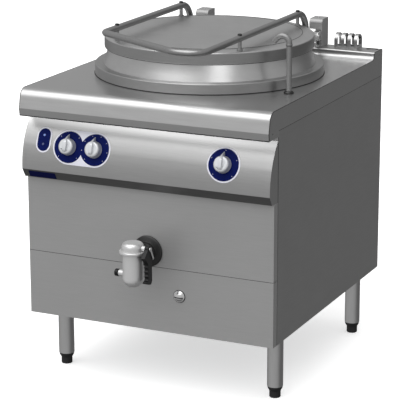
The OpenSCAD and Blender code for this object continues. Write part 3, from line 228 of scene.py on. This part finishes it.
# the handle's tube and its studs are brushed by hand: tighter highlights on a darker skin
TUBE = grained_metal("brushed_tube", "#989898", "#A9A9A9", 0.32, (5, 5, 5), 0.05, 0.3)
# plated brass of the pins, the small screws, the spindles and the plug: near mirror
CHROME = grained_metal("plated_chrome", "#DBDBDB", "#E9E9E9", 0.12, (8, 8, 8), 0.02, 0.4)
# the gooseneck's tube and collar are duller than the handle
DULL = grained_metal("dull_tube", "#909090", "#9F9F9F", 0.42, (5, 5, 5), 0.05, 0.3, 0.8)
# blackened steel of the flanges, the studs' caps and the fine seams: dark with a dull glint
BLACKED = grained_metal("blackened_steel", "#3A3A3A", "#4C4C4C", 0.40, (2, 2, 2), 0.10, 0.3)
# fine-cast stainless of the tap and the hinges' levers and brackets: satin with a faint skin
CAST = grained_metal("cast_stainless", "#DADADA", "#E6E6E6", 0.30, (2, 2, 2), 0.10, 0.3, 0.65)
# knobs of die-cast aluminium, satin anodised: even and light
KNOB = grained_metal("anodised_knob", "#D3D5D9", "#DFE1E4", 0.36, (1.2, 1.2, 1.2), 0.08, 0.3, 0.5)
# galvanised sheet and bodies inside the cabinet: large dull spangles
ZINC = grained_metal("galvanised_sheet", "#8E9194", "#AEB1B4", 0.50, (14, 14, 14), 0.05, 0.3)
# cast iron of the burner: rough, nearly black
IRON = grained_metal("burner_cast_iron", "#2C2C2C", "#424242", 0.70, (1.5, 1.5, 1.5), 0.6, 0.3, 0.6)
# drawn copper of the water and burner pipes, slightly tarnished
COPPER = grained_metal("drawn_copper", "#B06A48", "#CF8A62", 0.34, (4, 4, 30), 0.05, 0.5)
# turned brass of the water valve, and the yellow-brown gas pipe
BRASS = grained_metal("turned_brass", "#A8934E", "#C9B469", 0.32, (4, 4, 4), 0.05, 0.5)
# phenolic of the tap's lever and stub cap, and the end screws: hard black with a slight sheen
BLACK = moulded("black_phenolic", "#060607", "#0E0E10", 0.34, 1.2, 0.10, Specular_IOR_Level=0.35)
# feet of glass-filled nylon: duller than the lever
NYLON = moulded("black_nylon", "#111112", "#202022", 0.55, 1.0, 0.20)
# dial film: dark blue print under a matt coat, so its blue stays deep
BLUE = moulded("blue_dial_film", "#05124E", "#09185E", 0.60, 6.0, 0.01, Specular_IOR_Level=0.08)
# its border and the dots are the bare pale film
PALE = moulded("pale_dial_film", "#F0F1FF", "#F8F8FF", 0.40, 6.0, 0.01, Specular_IOR_Level=0.3)
# the plate under the panel is a darker blue film, bare of any mark
NAME = moulded("blue_name_film", "#060C3C", "#0A1148", 0.60, 6.0, 0.01, Specular_IOR_Level=0.08)
# lamp lenses: clear blue styrene
LENS = moulded("blue_lamp_lens", "#6F8CD8", "#86A0E6", 0.12, 4.0, 0.01)
# the lower lamp is the same lens in a grey tint
DIM = moulded("grey_lamp_lens", "#3C4678", "#4A5486", 0.18, 4.0, 0.01)
# silicone gasket under the lid: pale and soft
GASKET = moulded("silicone_gasket", "#B9B9AF", "#CDCDC4", 0.60, 2.0, 0.15)
# black elastic sealant pressed into the sheets' joints: dull and nearly black; the same black beads are
# laid as painted shade under the fascia's foot and the lid's edge, at the ring's foot and in and round the
# plug
SEALANT_AND_SHADE = moulded("joint_sealant", "#101011", "#1B1B1D", 0.60, 2.0, 0.15)
# mineral wool round the vessel: coarse and without any shine
WOOL = moulded("mineral_wool", "#8D7C4C", "#B5A36C", 0.95, 3.0, 0.9)

SLOT_MATERIAL = {
    "stainless": SATIN, "chrome": CHROME, "knob_metal": KNOB, "galvanised": ZINC, "cast_iron": IRON,
    "copper": COPPER, "brass": BRASS, "mineral_wool": WOOL, "black_plastic": BLACK, "blue_print": BLUE,
    "white_print": PALE, "lamp_lens": LENS, "gasket_rubber": GASKET,
}
NODE_MATERIAL = {
    "left_side_panel": SIDE, "right_side_panel": SIDE, "back_panel": MILL, "upper_front_panel": MILL,
    "lower_front_panel": MILL, "control_panel": PANEL, "name_plate": NAME, "lid_shell": SPUN,
    "lid_liner": INSIDE, "vessel": FLARE, "well_ring": RING_SHADE, "handle": TUBE, "handle_studs": TUBE,
    "stud_caps": BLACKED, "hinge_housings": MILL, "hinge_levers": CAST, "hinge_brackets": CAST,
    "spout": DULL, "spout_flange": BLACKED, "flue_guard": LEG, "tap_body": CAST, "tap_cap": CAST,
    "tap_flange": BLACKED, "legs": LEG, "foot_front_left": NYLON, "foot_front_right": NYLON,
    "foot_rear_left": NYLON, "foot_rear_right": NYLON,
}


def finish_of(node):
    return NODE_MATERIAL.get(node, SLOT_MATERIAL[NODE_SLOT[node]])


def paint(piece, material):
    piece.data.materials.clear()
    piece.data.materials.append(material)


for name, node in NODES.items():
    paint(node, finish_of(name))

# Making pieces
# The solids' loose triangles are merged within MERGE metres, and flat faces joined within FLAT;
# turned pieces have their edges rounded by TURNED_EDGE
MERGE = 2e-6
FLAT = math.radians(0.4)
TURNED_EDGE = 0.3


def bake(piece):
    """Applies a piece's modifiers to its mesh."""
    bpy.context.view_layer.update()
    evaluated = piece.evaluated_get(bpy.context.evaluated_depsgraph_get())
    mesh = bpy.data.meshes.new_from_object(evaluated)
    piece.modifiers.clear()
    piece.data = mesh


def smooth(piece):
    for face in piece.data.polygons:
        face.use_smooth = True


def soften(piece, width, angle=30):
    """Rounds the edges sharper than angle by width, unless it is 0, and keeps flat faces looking flat."""
    if width:
        bevel = piece.modifiers.new("edges", "BEVEL")
        bevel.limit_method = "ANGLE"
        bevel.angle_limit = math.radians(angle)
        bevel.width = mm(width)
        bevel.segments = 2
        bevel.use_clamp_overlap = False
        bevel.harden_normals = False
    smooth(piece)
    bake(piece)
    smooth(piece)
    weighted = piece.modifiers.new("faces", "WEIGHTED_NORMAL")
    weighted.keep_sharp = True
    weighted.weight = 60
    bake(piece)


def settle(piece, material, body, node=None):
    """Paints a finished piece, stands it in for its node if it has one, and lets it ride."""
    paint(piece, material)
    if node:
        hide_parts(node)
    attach(piece, body)
    return piece


def linked(name, mesh):
    """An object at the frame's origin, whose place is in its mesh."""
    piece = bpy.data.objects.new(name, mesh)
    bpy.context.scene.collection.objects.link(piece)
    return piece


def new_piece(name, form):
    """Closes a form in the making and gives its piece."""
    form.normal_update()
    mesh = bpy.data.meshes.new(name)
    form.to_mesh(mesh)
    form.free()
    return linked(name, mesh)


def spread(form, middle, rings):
    """Faces from a middle corner out over one ring of corners after the other."""
    inner = None
    for ring in rings:
        for i in range(len(ring)):
            j = (i + 1) % len(ring)
            form.faces.new((inner[i], ring[i], ring[j], inner[j]) if inner else (middle, ring[i], ring[j]))
        inner = ring


def edged(node, width, angle=30, reshape=None):
    """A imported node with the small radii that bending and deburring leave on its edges."""
    form = bmesh.new()
    form.from_mesh(NODES[node].data)
    bmesh.ops.remove_doubles(form, verts=form.verts, dist=MERGE)
    bmesh.ops.dissolve_limit(form, angle_limit=FLAT, verts=form.verts, edges=form.edges, delimit={"NORMAL"})
    if reshape:
        reshape(form)
    piece = new_piece(node + "_dressed", form)
    soften(piece, width, angle)
    return settle(piece, finish_of(node), NODE_BODY[node], node)


def turned(name, profile, axis, material, body, count=64):
    """A turned piece on an upright axis: profile is a closed outline of (radius, z) in millimetres."""
    form = bmesh.new()
    rings = [[form.verts.new(at(axis[0] + r * math.cos(a), axis[1] + r * math.sin(a), z))
              for r, z in profile] for a in round_turns(count)]
    for i in range(count):
        here, there = rings[i], rings[(i + 1) % count]
        for k in range(len(profile)):
            j = (k + 1) % len(profile)
            form.faces.new((here[k], there[k], there[j], here[j]))
    bmesh.ops.recalc_face_normals(form, faces=form.faces)
    piece = new_piece(name, form)
    soften(piece, TURNED_EDGE)
    return settle(piece, material, body)


def tint(piece, material, chosen):
    """Gives the faces for which chosen(middle, normal) holds a second finish; the middle is in mm."""
    piece.data.materials.append(material)
    last = len(piece.data.materials) - 1
    for face in piece.data.polygons:
        middle = face.center * 1000
        if chosen(Vector((middle.x, middle.y + FRONT, middle.z)), face.normal):
            face.material_index = last


# The worktop's nose: the press bends it tightly, and under the bend the fascia leans by 12 degrees
NOSE_R, FOLD_Z = 38.0, 842.0
BEND_R, BEND_TURN = 25.0, math.radians(78)
BEND_END = TOP_Z - BEND_R * (1 - math.cos(BEND_TURN))
BEND_Y = (BEND_END - FOLD_Z) / math.tan(BEND_TURN) + BEND_R * math.sin(BEND_TURN)
# the plain nose's turn at which the tight bend ends
STEEP = math.radians(62)
# the sheet's corners lie this deep under the plain nose at most, with room for its facets
NOSE_SKIN = 3.1
SLACK, FACET_SLACK = 0.01, 0.1


def on_nose(turn, depth):
    """Where the pressed profile runs, as y and z: turn goes round the plain nose from 0 (level) to 90
    degrees (upright), and depth is counted into the sheet."""
    if turn < STEEP:
        bent = BEND_TURN * turn / STEEP
        reach = BEND_R - depth
        y = BEND_Y - reach * math.sin(bent) + (NOSE_R - BEND_Y) * (1 - turn / STEEP)
        return y, TOP_Z - BEND_R + reach * math.cos(bent)
    share = (turn - STEEP) / (math.pi / 2 - STEEP)
    z = BEND_END + (TOP_Z - NOSE_R - BEND_END) * share
    return (z - FOLD_Z) / math.tan(BEND_TURN) + depth, z


def press_nose(form):
    """Moves the corners of the plain nose on to the pressed profile."""
    for corner in form.verts:
        y, z = corner.co.y * 1000 + FRONT, corner.co.z * 1000
        back, up = NOSE_R - y, z - (TOP_Z - NOSE_R)
        if back < SLACK or up < -SLACK:
            continue
        depth = NOSE_R - math.hypot(back, up)
        if -FACET_SLACK < depth < NOSE_SKIN:
            y, z = on_nose(math.atan2(back, up), depth)
            corner.co.y, corner.co.z = mm(y - FRONT), mm(z)


# Node trees for repeated forms
def new_tree(name, sizes):
    """An empty geometry tree that takes a start mesh, a finish and named sizes in metres."""
    tree = bpy.data.node_groups.new(name, "GeometryNodeTree")
    face = tree.interface
    face.new_socket("Geometry", in_out="INPUT", socket_type="NodeSocketGeometry")
    for size in sizes:
        face.new_socket(size, in_out="INPUT", socket_type="NodeSocketFloat")
    face.new_socket("Finish", in_out="INPUT", socket_type="NodeSocketMaterial")
    face.new_socket("Geometry", in_out="OUTPUT", socket_type="NodeSocketGeometry")
    return tree, add(tree, "NodeGroupInput").outputs


def close_tree(tree, given, geometry):
    """Ends a tree with real geometry in its finish."""
    real = add(tree, "GeometryNodeRealizeInstances", Geometry=geometry)
    shaded = add(tree, "GeometryNodeSetShadeSmooth", Geometry=real.outputs[0])
    painted = add(tree, "GeometryNodeSetMaterial", Geometry=shaded.outputs[0], Material=given["Finish"])
    add(tree, "NodeGroupOutput", Geometry=painted.outputs[0])
    return tree


def bead_tree():
    """A round bead laid along the start mesh's lines."""
    tree, given = new_tree("joint_bead", ["Bead radius"])
    path = add(tree, "GeometryNodeMeshToCurve", Mesh=given["Geometry"])
    section = add(tree, "GeometryNodeCurvePrimitiveCircle", Resolution=24, Radius=given["Bead radius"])
    laid = add(tree, "GeometryNodeCurveToMesh", Curve=path.outputs[0], Profile_Curve=section.outputs[0],
               Fill_Caps=True)
    return close_tree(tree, given, laid.outputs[0])


def dot_tree():
    """A low printed dot on each of the start mesh's points, turned to lie on the panel."""
    tree, given = new_tree("dial_dots", ["Dot radius", "Dot height", "Panel turn"])
    drop = add(tree, "GeometryNodeMeshUVSphere", Segments=16, Rings=8, Radius=given["Dot radius"])
    ratio = add(tree, "ShaderNodeMath", {"operation": "DIVIDE"}, i0=given["Dot height"],
                i1=given["Dot radius"])
    flat = add(tree, "ShaderNodeCombineXYZ", X=1.0, Y=1.0, Z=ratio.outputs[0])
    turn = add(tree, "ShaderNodeCombineXYZ", X=given["Panel turn"])
    dots = add(tree, "GeometryNodeInstanceOnPoints", Points=given["Geometry"], Instance=drop.outputs[0],
               Rotation=turn.outputs[0], Scale=flat.outputs[0])
    return close_tree(tree, given, dots.outputs[0])


def grown(name, tree, points, lines, material, body, slot, node=None, **sizes):
    """Runs a tree over points and lines given in the drawing's millimetres and keeps the plain mesh."""
    mesh = bpy.data.meshes.new(name)
    mesh.from_pydata([at(*p) for p in points], lines, [])
    piece = linked(name, mesh)
    modifier = piece.modifiers.new("growth", "NODES")
    modifier.node_group = tree
    for socket in tree.interface.items_tree:
        size = socket.name.replace(" ", "_")
        if socket.in_out == "INPUT" and socket.name == "Finish":
            modifier[socket.identifier] = material
        elif socket.in_out == "INPUT" and size in sizes:
            modifier[socket.identifier] = sizes[size]
    bake(piece)
    return settle(piece, material, body, node)


BEAD = bead_tree()
DOTS = dot_tree()


def bead(name, lines, radius, material=SEALANT_AND_SHADE, body="cabinet", slot="gasket_rubber", node=None,
         ring=False):
    """A round bead along lines of places on the drawing; a ring's last place is joined to its first."""
    points, edges = [], []
    for line in lines:
        first = len(points)
        edges += [(first + i, first + i + 1) for i in range(len(line) - 1)]
        if ring:
            edges.append((first + len(line) - 1, first))
        points += line
    return grown(name, BEAD, points, edges, material, body, slot, node, Bead_radius=mm(radius))


def round_pan(radius, z, count=240):
    """Places on a level circle round the pan's axis."""
    return [(radius * math.sin(t), PAN_Y - radius * math.cos(t), z) for t in round_turns(count)]


def arc(centre, radius, first, last, steps=24):
    """Places in a plane along a part of a circle."""
    turns = [first + (last - first) * i / steps for i in range(steps + 1)]
    return [(centre[0] + radius * math.cos(t), centre[1] + radius * math.sin(t)) for t in turns]


# Floor and light, in metres
def lay_floor():
    """A wide round floor that curves up far outside the camera, whichever side it looks from."""
    flat, bend, top, count = 9.0, 5.0, 16.0, 96
    slopes = [math.radians(d) for d in range(0, 91, 6)]
    profile = [(r, 0.0) for r in (1.0, 3.0, 6.0)]
    profile += [(flat + bend * math.sin(a), bend - bend * math.cos(a)) for a in slopes]
    profile.append((flat + bend, top))
    form = bmesh.new()
    middle = form.verts.new((0, 0, 0))
    rings = [[form.verts.new((r * math.cos(a), r * math.sin(a), z)) for a in round_turns(count)]
             for r, z in profile]
    spread(form, middle, rings)
    floor = new_piece("studio_floor", form)
    smooth(floor)
    # matt white seamless paper with a faint light of its own, so that it stays near white
    material, tree, shader, place = start("pale_studio_paper", 0.9, Emission_Color=(1, 1, 1, 1),
                                          Emission_Strength=0.55)
    fibre = add(tree, "ShaderNodeTexNoise", Vector=place, Scale=3.0, Detail=3.0)
    tone = add(tree, "ShaderNodeValToRGB", stops=[(0.3, "#F6F6F6"), (0.7, "#FBFBFB")], Fac=fibre.outputs[0])
    tree.links.new(tone.outputs["Color"], shader.inputs["Base Color"])
    paint(floor, material)
    # the metal mirrors the studio's walls, not the paper
    floor.visible_glossy = floor.visible_diffuse = floor.visible_shadow = False


def softbox(name, place, aim, width, height, power, only=None):
    """A soft lamp; only names the pieces that it lights and that shade it, all of them if left out."""
    lamp = bpy.data.lights.new(name, "AREA")
    lamp.shape = "RECTANGLE"
    lamp.size, lamp.size_y, lamp.energy = width, height, power
    light = bpy.data.objects.new(name, lamp)
    light.location = place
    light.rotation_euler = (Vector(aim) - Vector(place)).to_track_quat("-Z", "Y").to_euler()
    bpy.context.scene.collection.objects.link(light)
    if only:
        lit = bpy.data.collections.new(name + "_pieces")
        for piece in only:
            lit.objects.link(piece)
        light.light_linking.receiver_collection = lit
        light.light_linking.blocker_collection = lit


# How bright the studio's walls are, from the dark side low behind the right to the white ceiling over
# the front left; the first number is 0 opposite to the ceiling's middle and 1 at it
LIGHT_SIDE = Vector((-0.15, -0.50, 0.85))
WALLS = [(0.0, 0.075), (0.14, 0.09), (0.24, 0.07), (0.34, 0.11), (0.40, 0.215), (0.50, 0.24), (0.64, 0.26),
         (0.78, 0.27), (0.87, 0.34), (0.93, 0.95), (1.0, 1.0)]
WALL_POWER = 2.0
TOP_POWER = 14
PANEL_POWER = 36
RIM_POWER = 10


def light_studio():
    world = bpy.data.worlds.new("studio_air")
    bpy.context.scene.world = world
    world.use_nodes = True
    tree = world.node_tree
    tree.nodes.clear()
    way = add(tree, "ShaderNodeTexCoord").outputs["Generated"]
    side = add(tree, "ShaderNodeVectorMath", {"operation": "DOT_PRODUCT"}, i0=way, i1=LIGHT_SIDE)
    share = add(tree, "ShaderNodeMapRange", Value=side.outputs["Value"], From_Min=-1.0, From_Max=1.0,
                To_Min=0.0, To_Max=1.0)
    walls = add(tree, "ShaderNodeValToRGB", stops=WALLS, Fac=share.outputs[0])
    sky = add(tree, "ShaderNodeBackground", Color=walls.outputs["Color"], Strength=WALL_POWER)
    add(tree, "ShaderNodeOutputWorld", Surface=sky.outputs[0])
    softbox("top_softbox", (-1.2, -1.6, 5.0), (0, 0, 0.8), 3.0, 3.0, TOP_POWER)
    # plain contrast, so that the pale paper comes out near white as in a catalogue picture
    bpy.context.scene.view_settings.view_transform = "Standard"


lay_floor()
light_studio()

# Pieces with rounded edges, and how wide the rounding is in millimetres
EDGE_WIDTH = {
    "well_ring": 0.6, "left_side_panel": 0.6, "right_side_panel": 0.6, "upper_front_panel": 0.5,
    "lower_front_panel": 0.5, "control_panel": 0.5, "hinge_housings": 0.8, "hinge_brackets": 0.5,
    "hinge_levers": 1.0, "lid_shell": 0.8, "flue_guard": 0.5, "tap_body": 0.6, "tap_cap": 0.4,
    "tap_flange": 0.8, "tap_lever": 1.2, "left_knob": 0.8, "middle_knob": 0.8, "right_knob": 0.8,
    "drain_plug": 0.5, "stub_cap": 0.8, "stud_caps": 0.1, "handle_studs": 0.4, "lever_pin": 0.4,
    "spout_flange": 0.5, "housing_screws": 0.2, "legs": 0.4, "foot_front_left": 0.6,
    "foot_front_right": 0.6, "foot_rear_left": 0.6, "foot_rear_right": 0.6, "dial_plates": 0.15,
    "name_plate": 0.2, "lamp_lenses": 0.2, "vessel": 0.25,
}
DRESSED = {node: edged(node, width) for node, width in EDGE_WIDTH.items()}
DRESSED["worktop"] = edged("worktop", 0.9, angle=15, reshape=press_nose)

# Second finishes
# the fascia's foot, behind the front edge by FOOT_Y, and the places where the finishes change
FASCIA_LOW_Z, FOOT_Y = 820.0, 3.4
BROW_Z = 657.0
LID_WALL_R = 316.0
VESSEL_R, VESSEL_FLOOR_Z = 300.0, 425.0
RAIL_Y, RAIL_Z = 840.0, 924.0
MARK_FLOOR_Z, MARK_LEFT_X = 923.0, 330.0
LAMP_SPLIT_Z = 745.0

# the fascia's lower fold, which leans back and faces a little downwards, and the panel's underside take
# darker copies of their finish as painted shade
tint(DRESSED["worktop"], FOLD_SHADE,
     lambda p, n: p.y < FOOT_Y and FASCIA_LOW_Z - 1 < p.z < FOLD_Z + 0.2 and n.y < -0.5)
tint(DRESSED["control_panel"], BROW_SHADE, lambda p, n: p.z < BROW_Z and n.z < -0.3)
# the lid's upright wall takes the darker copy as painted shade
tint(DRESSED["lid_shell"], WALL_SHADE, lambda p, n: from_pan(p) > LID_WALL_R and abs(n.z) < 0.2)
tint(DRESSED["vessel"], INSIDE, lambda p, n: from_pan(p) < VESSEL_R + 0.6 and p.z > VESSEL_FLOOR_Z - 1)
# the shallow press mark on the rail is polished bright
tint(DRESSED["worktop"], CHROME,
     lambda p, n: p.y > RAIL_Y + 5 and MARK_FLOOR_Z - 0.6 < p.z < RAIL_Z - 0.1 and p.x > MARK_LEFT_X)

# Joints between the sheets, and black beads laid as painted shade
# SEAM_IN and NOSE_SEAM_IN are how far the end caps' seam runs under the worktop's surface
SEAM_IN, NOSE_SEAM_IN = 0.6, 0.5
SIDE_X, SIDE_FRONT_Y, SIDE_BACK_Y, SIDE_LOW_Z = 398.6, 70.0, 913.0, 201.0
FASCIA_X, FRONT_X, END_CAP_X = 398.2, 399.0, 398.8
TRAY_SEAM_Y, TRAY_SEAM_Z = 43.0, 397.0
PANEL_SEAM_Y, PANEL_SEAM_Z = 43.4, 629.9
# radius and height of the beads round the pan
RING_R, RING_FOOT_Z = 350.2, 900.6
LID_R, LID_LOW_Z = 318.2, 983.2
DISC_R, DISC_Z = 283.0, 1022.2
# the cove in front of the rail, the rail's edge, and the press mark's two round ends
COVE_R, RAIL_EDGE, RAIL_END_Y = 16.0, 4.0, 910.0
MARK_X, MARK_Y, MARK_R, MARK_REACH = 380.0, 894.0, 12.0, 14.0

bead("side_joint_beads",
     [[(s * SIDE_X, SIDE_FRONT_Y + 1, SKIRT_Z), (s * SIDE_X, SIDE_BACK_Y, SKIRT_Z)] for s in (-1, 1)]
     + [[(s * SIDE_X, SIDE_FRONT_Y - 1, SIDE_LOW_Z), (s * SIDE_X, SIDE_FRONT_Y - 1, FASCIA_LOW_Z - 1)]
        for s in (-1, 1)], radius=1.4)


def end_line(x):
    """The worktop's end caps are welded on and ground flush, and this is the seam that is left: from the
    fascia's foot over the nose and the top, up the cove and along the rail."""
    sweep = COVE_R + SEAM_IN
    line = [(x, FOOT_Y, FASCIA_LOW_Z + SEAM_IN), (x, SEAM_IN, FOLD_Z)]
    line += [(x, *on_nose(math.radians(t), NOSE_SEAM_IN)) for t in range(90, 1, -4)]
    line += [(x, RAIL_Y - COVE_R, TOP_Z - SEAM_IN)]
    line += [(x, RAIL_Y - COVE_R + sweep * math.sin(t), TOP_Z + COVE_R - sweep * math.cos(t))
             for t in [math.pi * i / 16 for i in range(1, 9)]]
    line += [(x, RAIL_Y + SEAM_IN, RAIL_Z - RAIL_EDGE), (x, RAIL_Y + RAIL_EDGE, RAIL_Z - SEAM_IN),
             (x, RAIL_END_Y, RAIL_Z - SEAM_IN)]
    return line


bead("end_cap_seams", [end_line(-END_CAP_X), end_line(END_CAP_X)], radius=1.15, material=BLACKED,
     slot="stainless")
# a black bead along the fascia's foot is painted shade under the fascia's edge
bead("fascia_joint_bead", [[(s * FASCIA_X, FOOT_Y + 0.2, FASCIA_LOW_Z + SEAM_IN) for s in (-1, 1)]],
     radius=1.8)
bead("front_seam_beads", [[(s * FRONT_X, TRAY_SEAM_Y, TRAY_SEAM_Z) for s in (-1, 1)],
                          [(s * FRONT_X, PANEL_SEAM_Y, PANEL_SEAM_Z) for s in (-1, 1)]], radius=1.0)
# the black bead at the ring's foot marks the joint and is also painted shade in the crease
bead("ring_foot_bead", [round_pan(RING_R, RING_FOOT_Z)], radius=1.6, ring=True)
# a black bead under the lid's overhanging edge is a painted shadow
bead("lid_lower_bead", [round_pan(LID_R, LID_LOW_Z)], radius=1.4, body="lid", ring=True)
bead("lid_top_bead", [round_pan(DISC_R, DISC_Z)], radius=0.9, material=BLACKED, body="lid",
     slot="stainless", ring=True)
# the press mark's sharp edge shows as a fine dark line
mark = [(MARK_X - MARK_REACH * far + MARK_R * math.sin(t) * side, MARK_Y - MARK_R * math.cos(t) * side,
         RAIL_Z - 0.1)
        for side, far in ((1, 0), (-1, 1)) for t in [math.pi * i / 16 for i in range(17)]]
bead("press_mark_edge", [mark + mark[:1]], radius=0.8, material=BLACKED, slot="stainless")

# Handle: one tube, bent cold round formers, up from the right socket, forwards, across, back and down
TUBE_R = 10.0
ARM_X, ARM_Z, LEG_Y, LEG_LOW, BAR_Y = 200.0, 1055.0, 757.0, 950.0, -18.0
ARM_BEND, RIGHT_BEND, MID_BEND, LEFT_BEND = 65.0, 50.0, 90.0, 25.0
BAR_STRAIGHT, BAR_TURN = 12.0, math.radians(30)

bar = arc((ARM_X - RIGHT_BEND, BAR_Y + RIGHT_BEND), RIGHT_BEND, 0, -math.pi / 2)
middle_bend = (ARM_X - RIGHT_BEND - BAR_STRAIGHT, BAR_Y + MID_BEND)
bar += arc(middle_bend, MID_BEND, -math.pi / 2, -math.pi / 2 - BAR_TURN)
across = bar[-1][0] + ARM_X - LEFT_BEND * (1 - math.sin(BAR_TURN))
left_bend = (LEFT_BEND - ARM_X, bar[-1][1] + across * math.tan(BAR_TURN) + LEFT_BEND * math.cos(BAR_TURN))
bar += arc(left_bend, LEFT_BEND, -math.pi / 2 - BAR_TURN, -math.pi)
leg = arc((LEG_Y - ARM_BEND, ARM_Z - ARM_BEND), ARM_BEND, 0, math.pi / 2)
tube = [(ARM_X, LEG_Y, LEG_LOW)] + [(ARM_X, y, z) for y, z in leg] + [(x, y, ARM_Z) for x, y in bar]
tube += [(-ARM_X, y, z) for y, z in reversed(leg)] + [(-ARM_X, LEG_Y, LEG_LOW)]
bead("handle_tube", [tube], radius=TUBE_R, material=TUBE, body="lid", slot=NODE_SLOT["handle"],
     node="handle")

# Dials: plain dots stand round each, and each dial has its x and its number of dots
DIAL_DOTS = ((-247.0, 4), (-160.8, 8), (251.7, 5))
DOT_CIRCLE_R, DOT_LIFT = 42.0, 1.6
FIRST_DOT, DOT_SWEEP = 225, 270

marks = []
for x, count in DIAL_DOTS:
    for i in range(count):
        turn = math.radians(FIRST_DOT - DOT_SWEEP * i / (count - 1))
        marks.append(on_panel(x + DOT_CIRCLE_R * math.cos(turn), DOT_CIRCLE_R * math.sin(turn), DOT_LIFT))
grown("dial_dots", DOTS, marks, [], PALE, "cabinet", "white_print", Dot_radius=mm(1.1), Dot_height=mm(0.3),
      Panel_turn=math.pi / 2 - DIAL_TILT)
tint(DRESSED["lamp_lenses"], DIM, lambda p, n: p.z < LAMP_SPLIT_Z)

# Plug of the level hole: a polished cap with a shallow crown and a slot across it
PLUG_X, PLUG_Z = 101.0, 316.6
CROWN_R, CROWN_RISE, CROWN_Y = 15.5, 6.0, 37.9
CROWN_BALL = (CROWN_R ** 2 + CROWN_RISE ** 2) / (2 * CROWN_RISE)
# the rim goes back by CROWN_DEEP; the slot runs SLOT_LOW under the middle and is sunk by SLOT_IN
CROWN_DEEP = 1.5
SLOT_LOW, SLOT_IN, SLOT_REACH = 2.0, 0.9, 13
PLUG_EDGE_R, PLUG_EDGE_Y = 18.6, 41.5


def on_crown(across, up):
    """How far back the crown's surface is at a place on it."""
    return CROWN_Y - (math.sqrt(CROWN_BALL ** 2 - across ** 2 - up ** 2) - (CROWN_BALL - CROWN_RISE))


def press_crown(rings=10, count=48):
    """The shallow crown, which faces forwards with its rim at CROWN_Y."""
    form = bmesh.new()
    tip = form.verts.new(at(PLUG_X, CROWN_Y - CROWN_RISE, PLUG_Z))
    steps = [CROWN_R * k / rings for k in range(1, rings + 1)]
    corners = [[form.verts.new(at(PLUG_X + r * math.cos(a), on_crown(r, 0), PLUG_Z + r * math.sin(a)))
                for a in round_turns(count)] for r in steps]
    spread(form, tip, corners)
    rim = corners[-1]
    back = [form.verts.new(v.co + Vector((0, mm(CROWN_DEEP), 0))) for v in rim]
    for i in range(count):
        j = (i + 1) % count
        form.faces.new((rim[i], back[i], back[j], rim[j]))
    form.faces.new(back)
    bmesh.ops.recalc_face_normals(form, faces=form.faces)
    piece = new_piece("plug_crown", form)
    soften(piece, 0)
    settle(piece, CHROME, "cabinet")


press_crown()
# the slot is a black bead: painted shade inside the slot
bead("plug_slot", [[(PLUG_X + r, on_crown(r, SLOT_LOW) + SLOT_IN, PLUG_Z - SLOT_LOW)
                    for r in range(-SLOT_REACH, SLOT_REACH + 1)]], radius=1.9, slot="chrome")
# a black ring round the plug marks the gap round it and is painted shade at the edge of its recess
edge = [(PLUG_X + PLUG_EDGE_R * math.cos(t), PLUG_EDGE_Y, PLUG_Z + PLUG_EDGE_R * math.sin(t))
        for t in round_turns(48)]
bead("plug_edge", [edge + edge[:1]], radius=1.0)

# Spout: the gooseneck is a piece of its own, screwed to the riser with a low turned collar
SPOUT_X, SPOUT_Y = 342.0, 279.0
JOINT_R, JOINT_Z = 8.8, 1039.4
COLLAR = [(8.3, 1040), (9.5, 1040), (9.7, 1041), (9.7, 1044), (9.2, 1045), (8.3, 1045)]

turned("spout_collar", COLLAR, (SPOUT_X, SPOUT_Y), DULL, "spout_arm")
joint = [(SPOUT_X + JOINT_R * math.cos(t), SPOUT_Y + JOINT_R * math.sin(t), JOINT_Z)
         for t in round_turns(40)]
bead("spout_joint", [joint + joint[:1]], radius=0.8, body="spout_arm")

# Lamps for single pieces
# the fascia would shade the panel's top, which stays bright in the picture's flat studio light
softbox("panel_softbox", (-1.8, -2.1, 4.4), (0, -0.35, 0.8), 1.2, 0.5, PANEL_POWER,
        [DRESSED["control_panel"]])
# a tall lamp at the right of the camera draws the upright streak on the vessel's flare
softbox("rim_softbox", (1.72, -2.32, 1.3), (0, 0.06, 0.96), 0.9, 2.4, RIM_POWER, [DRESSED["vessel"]])
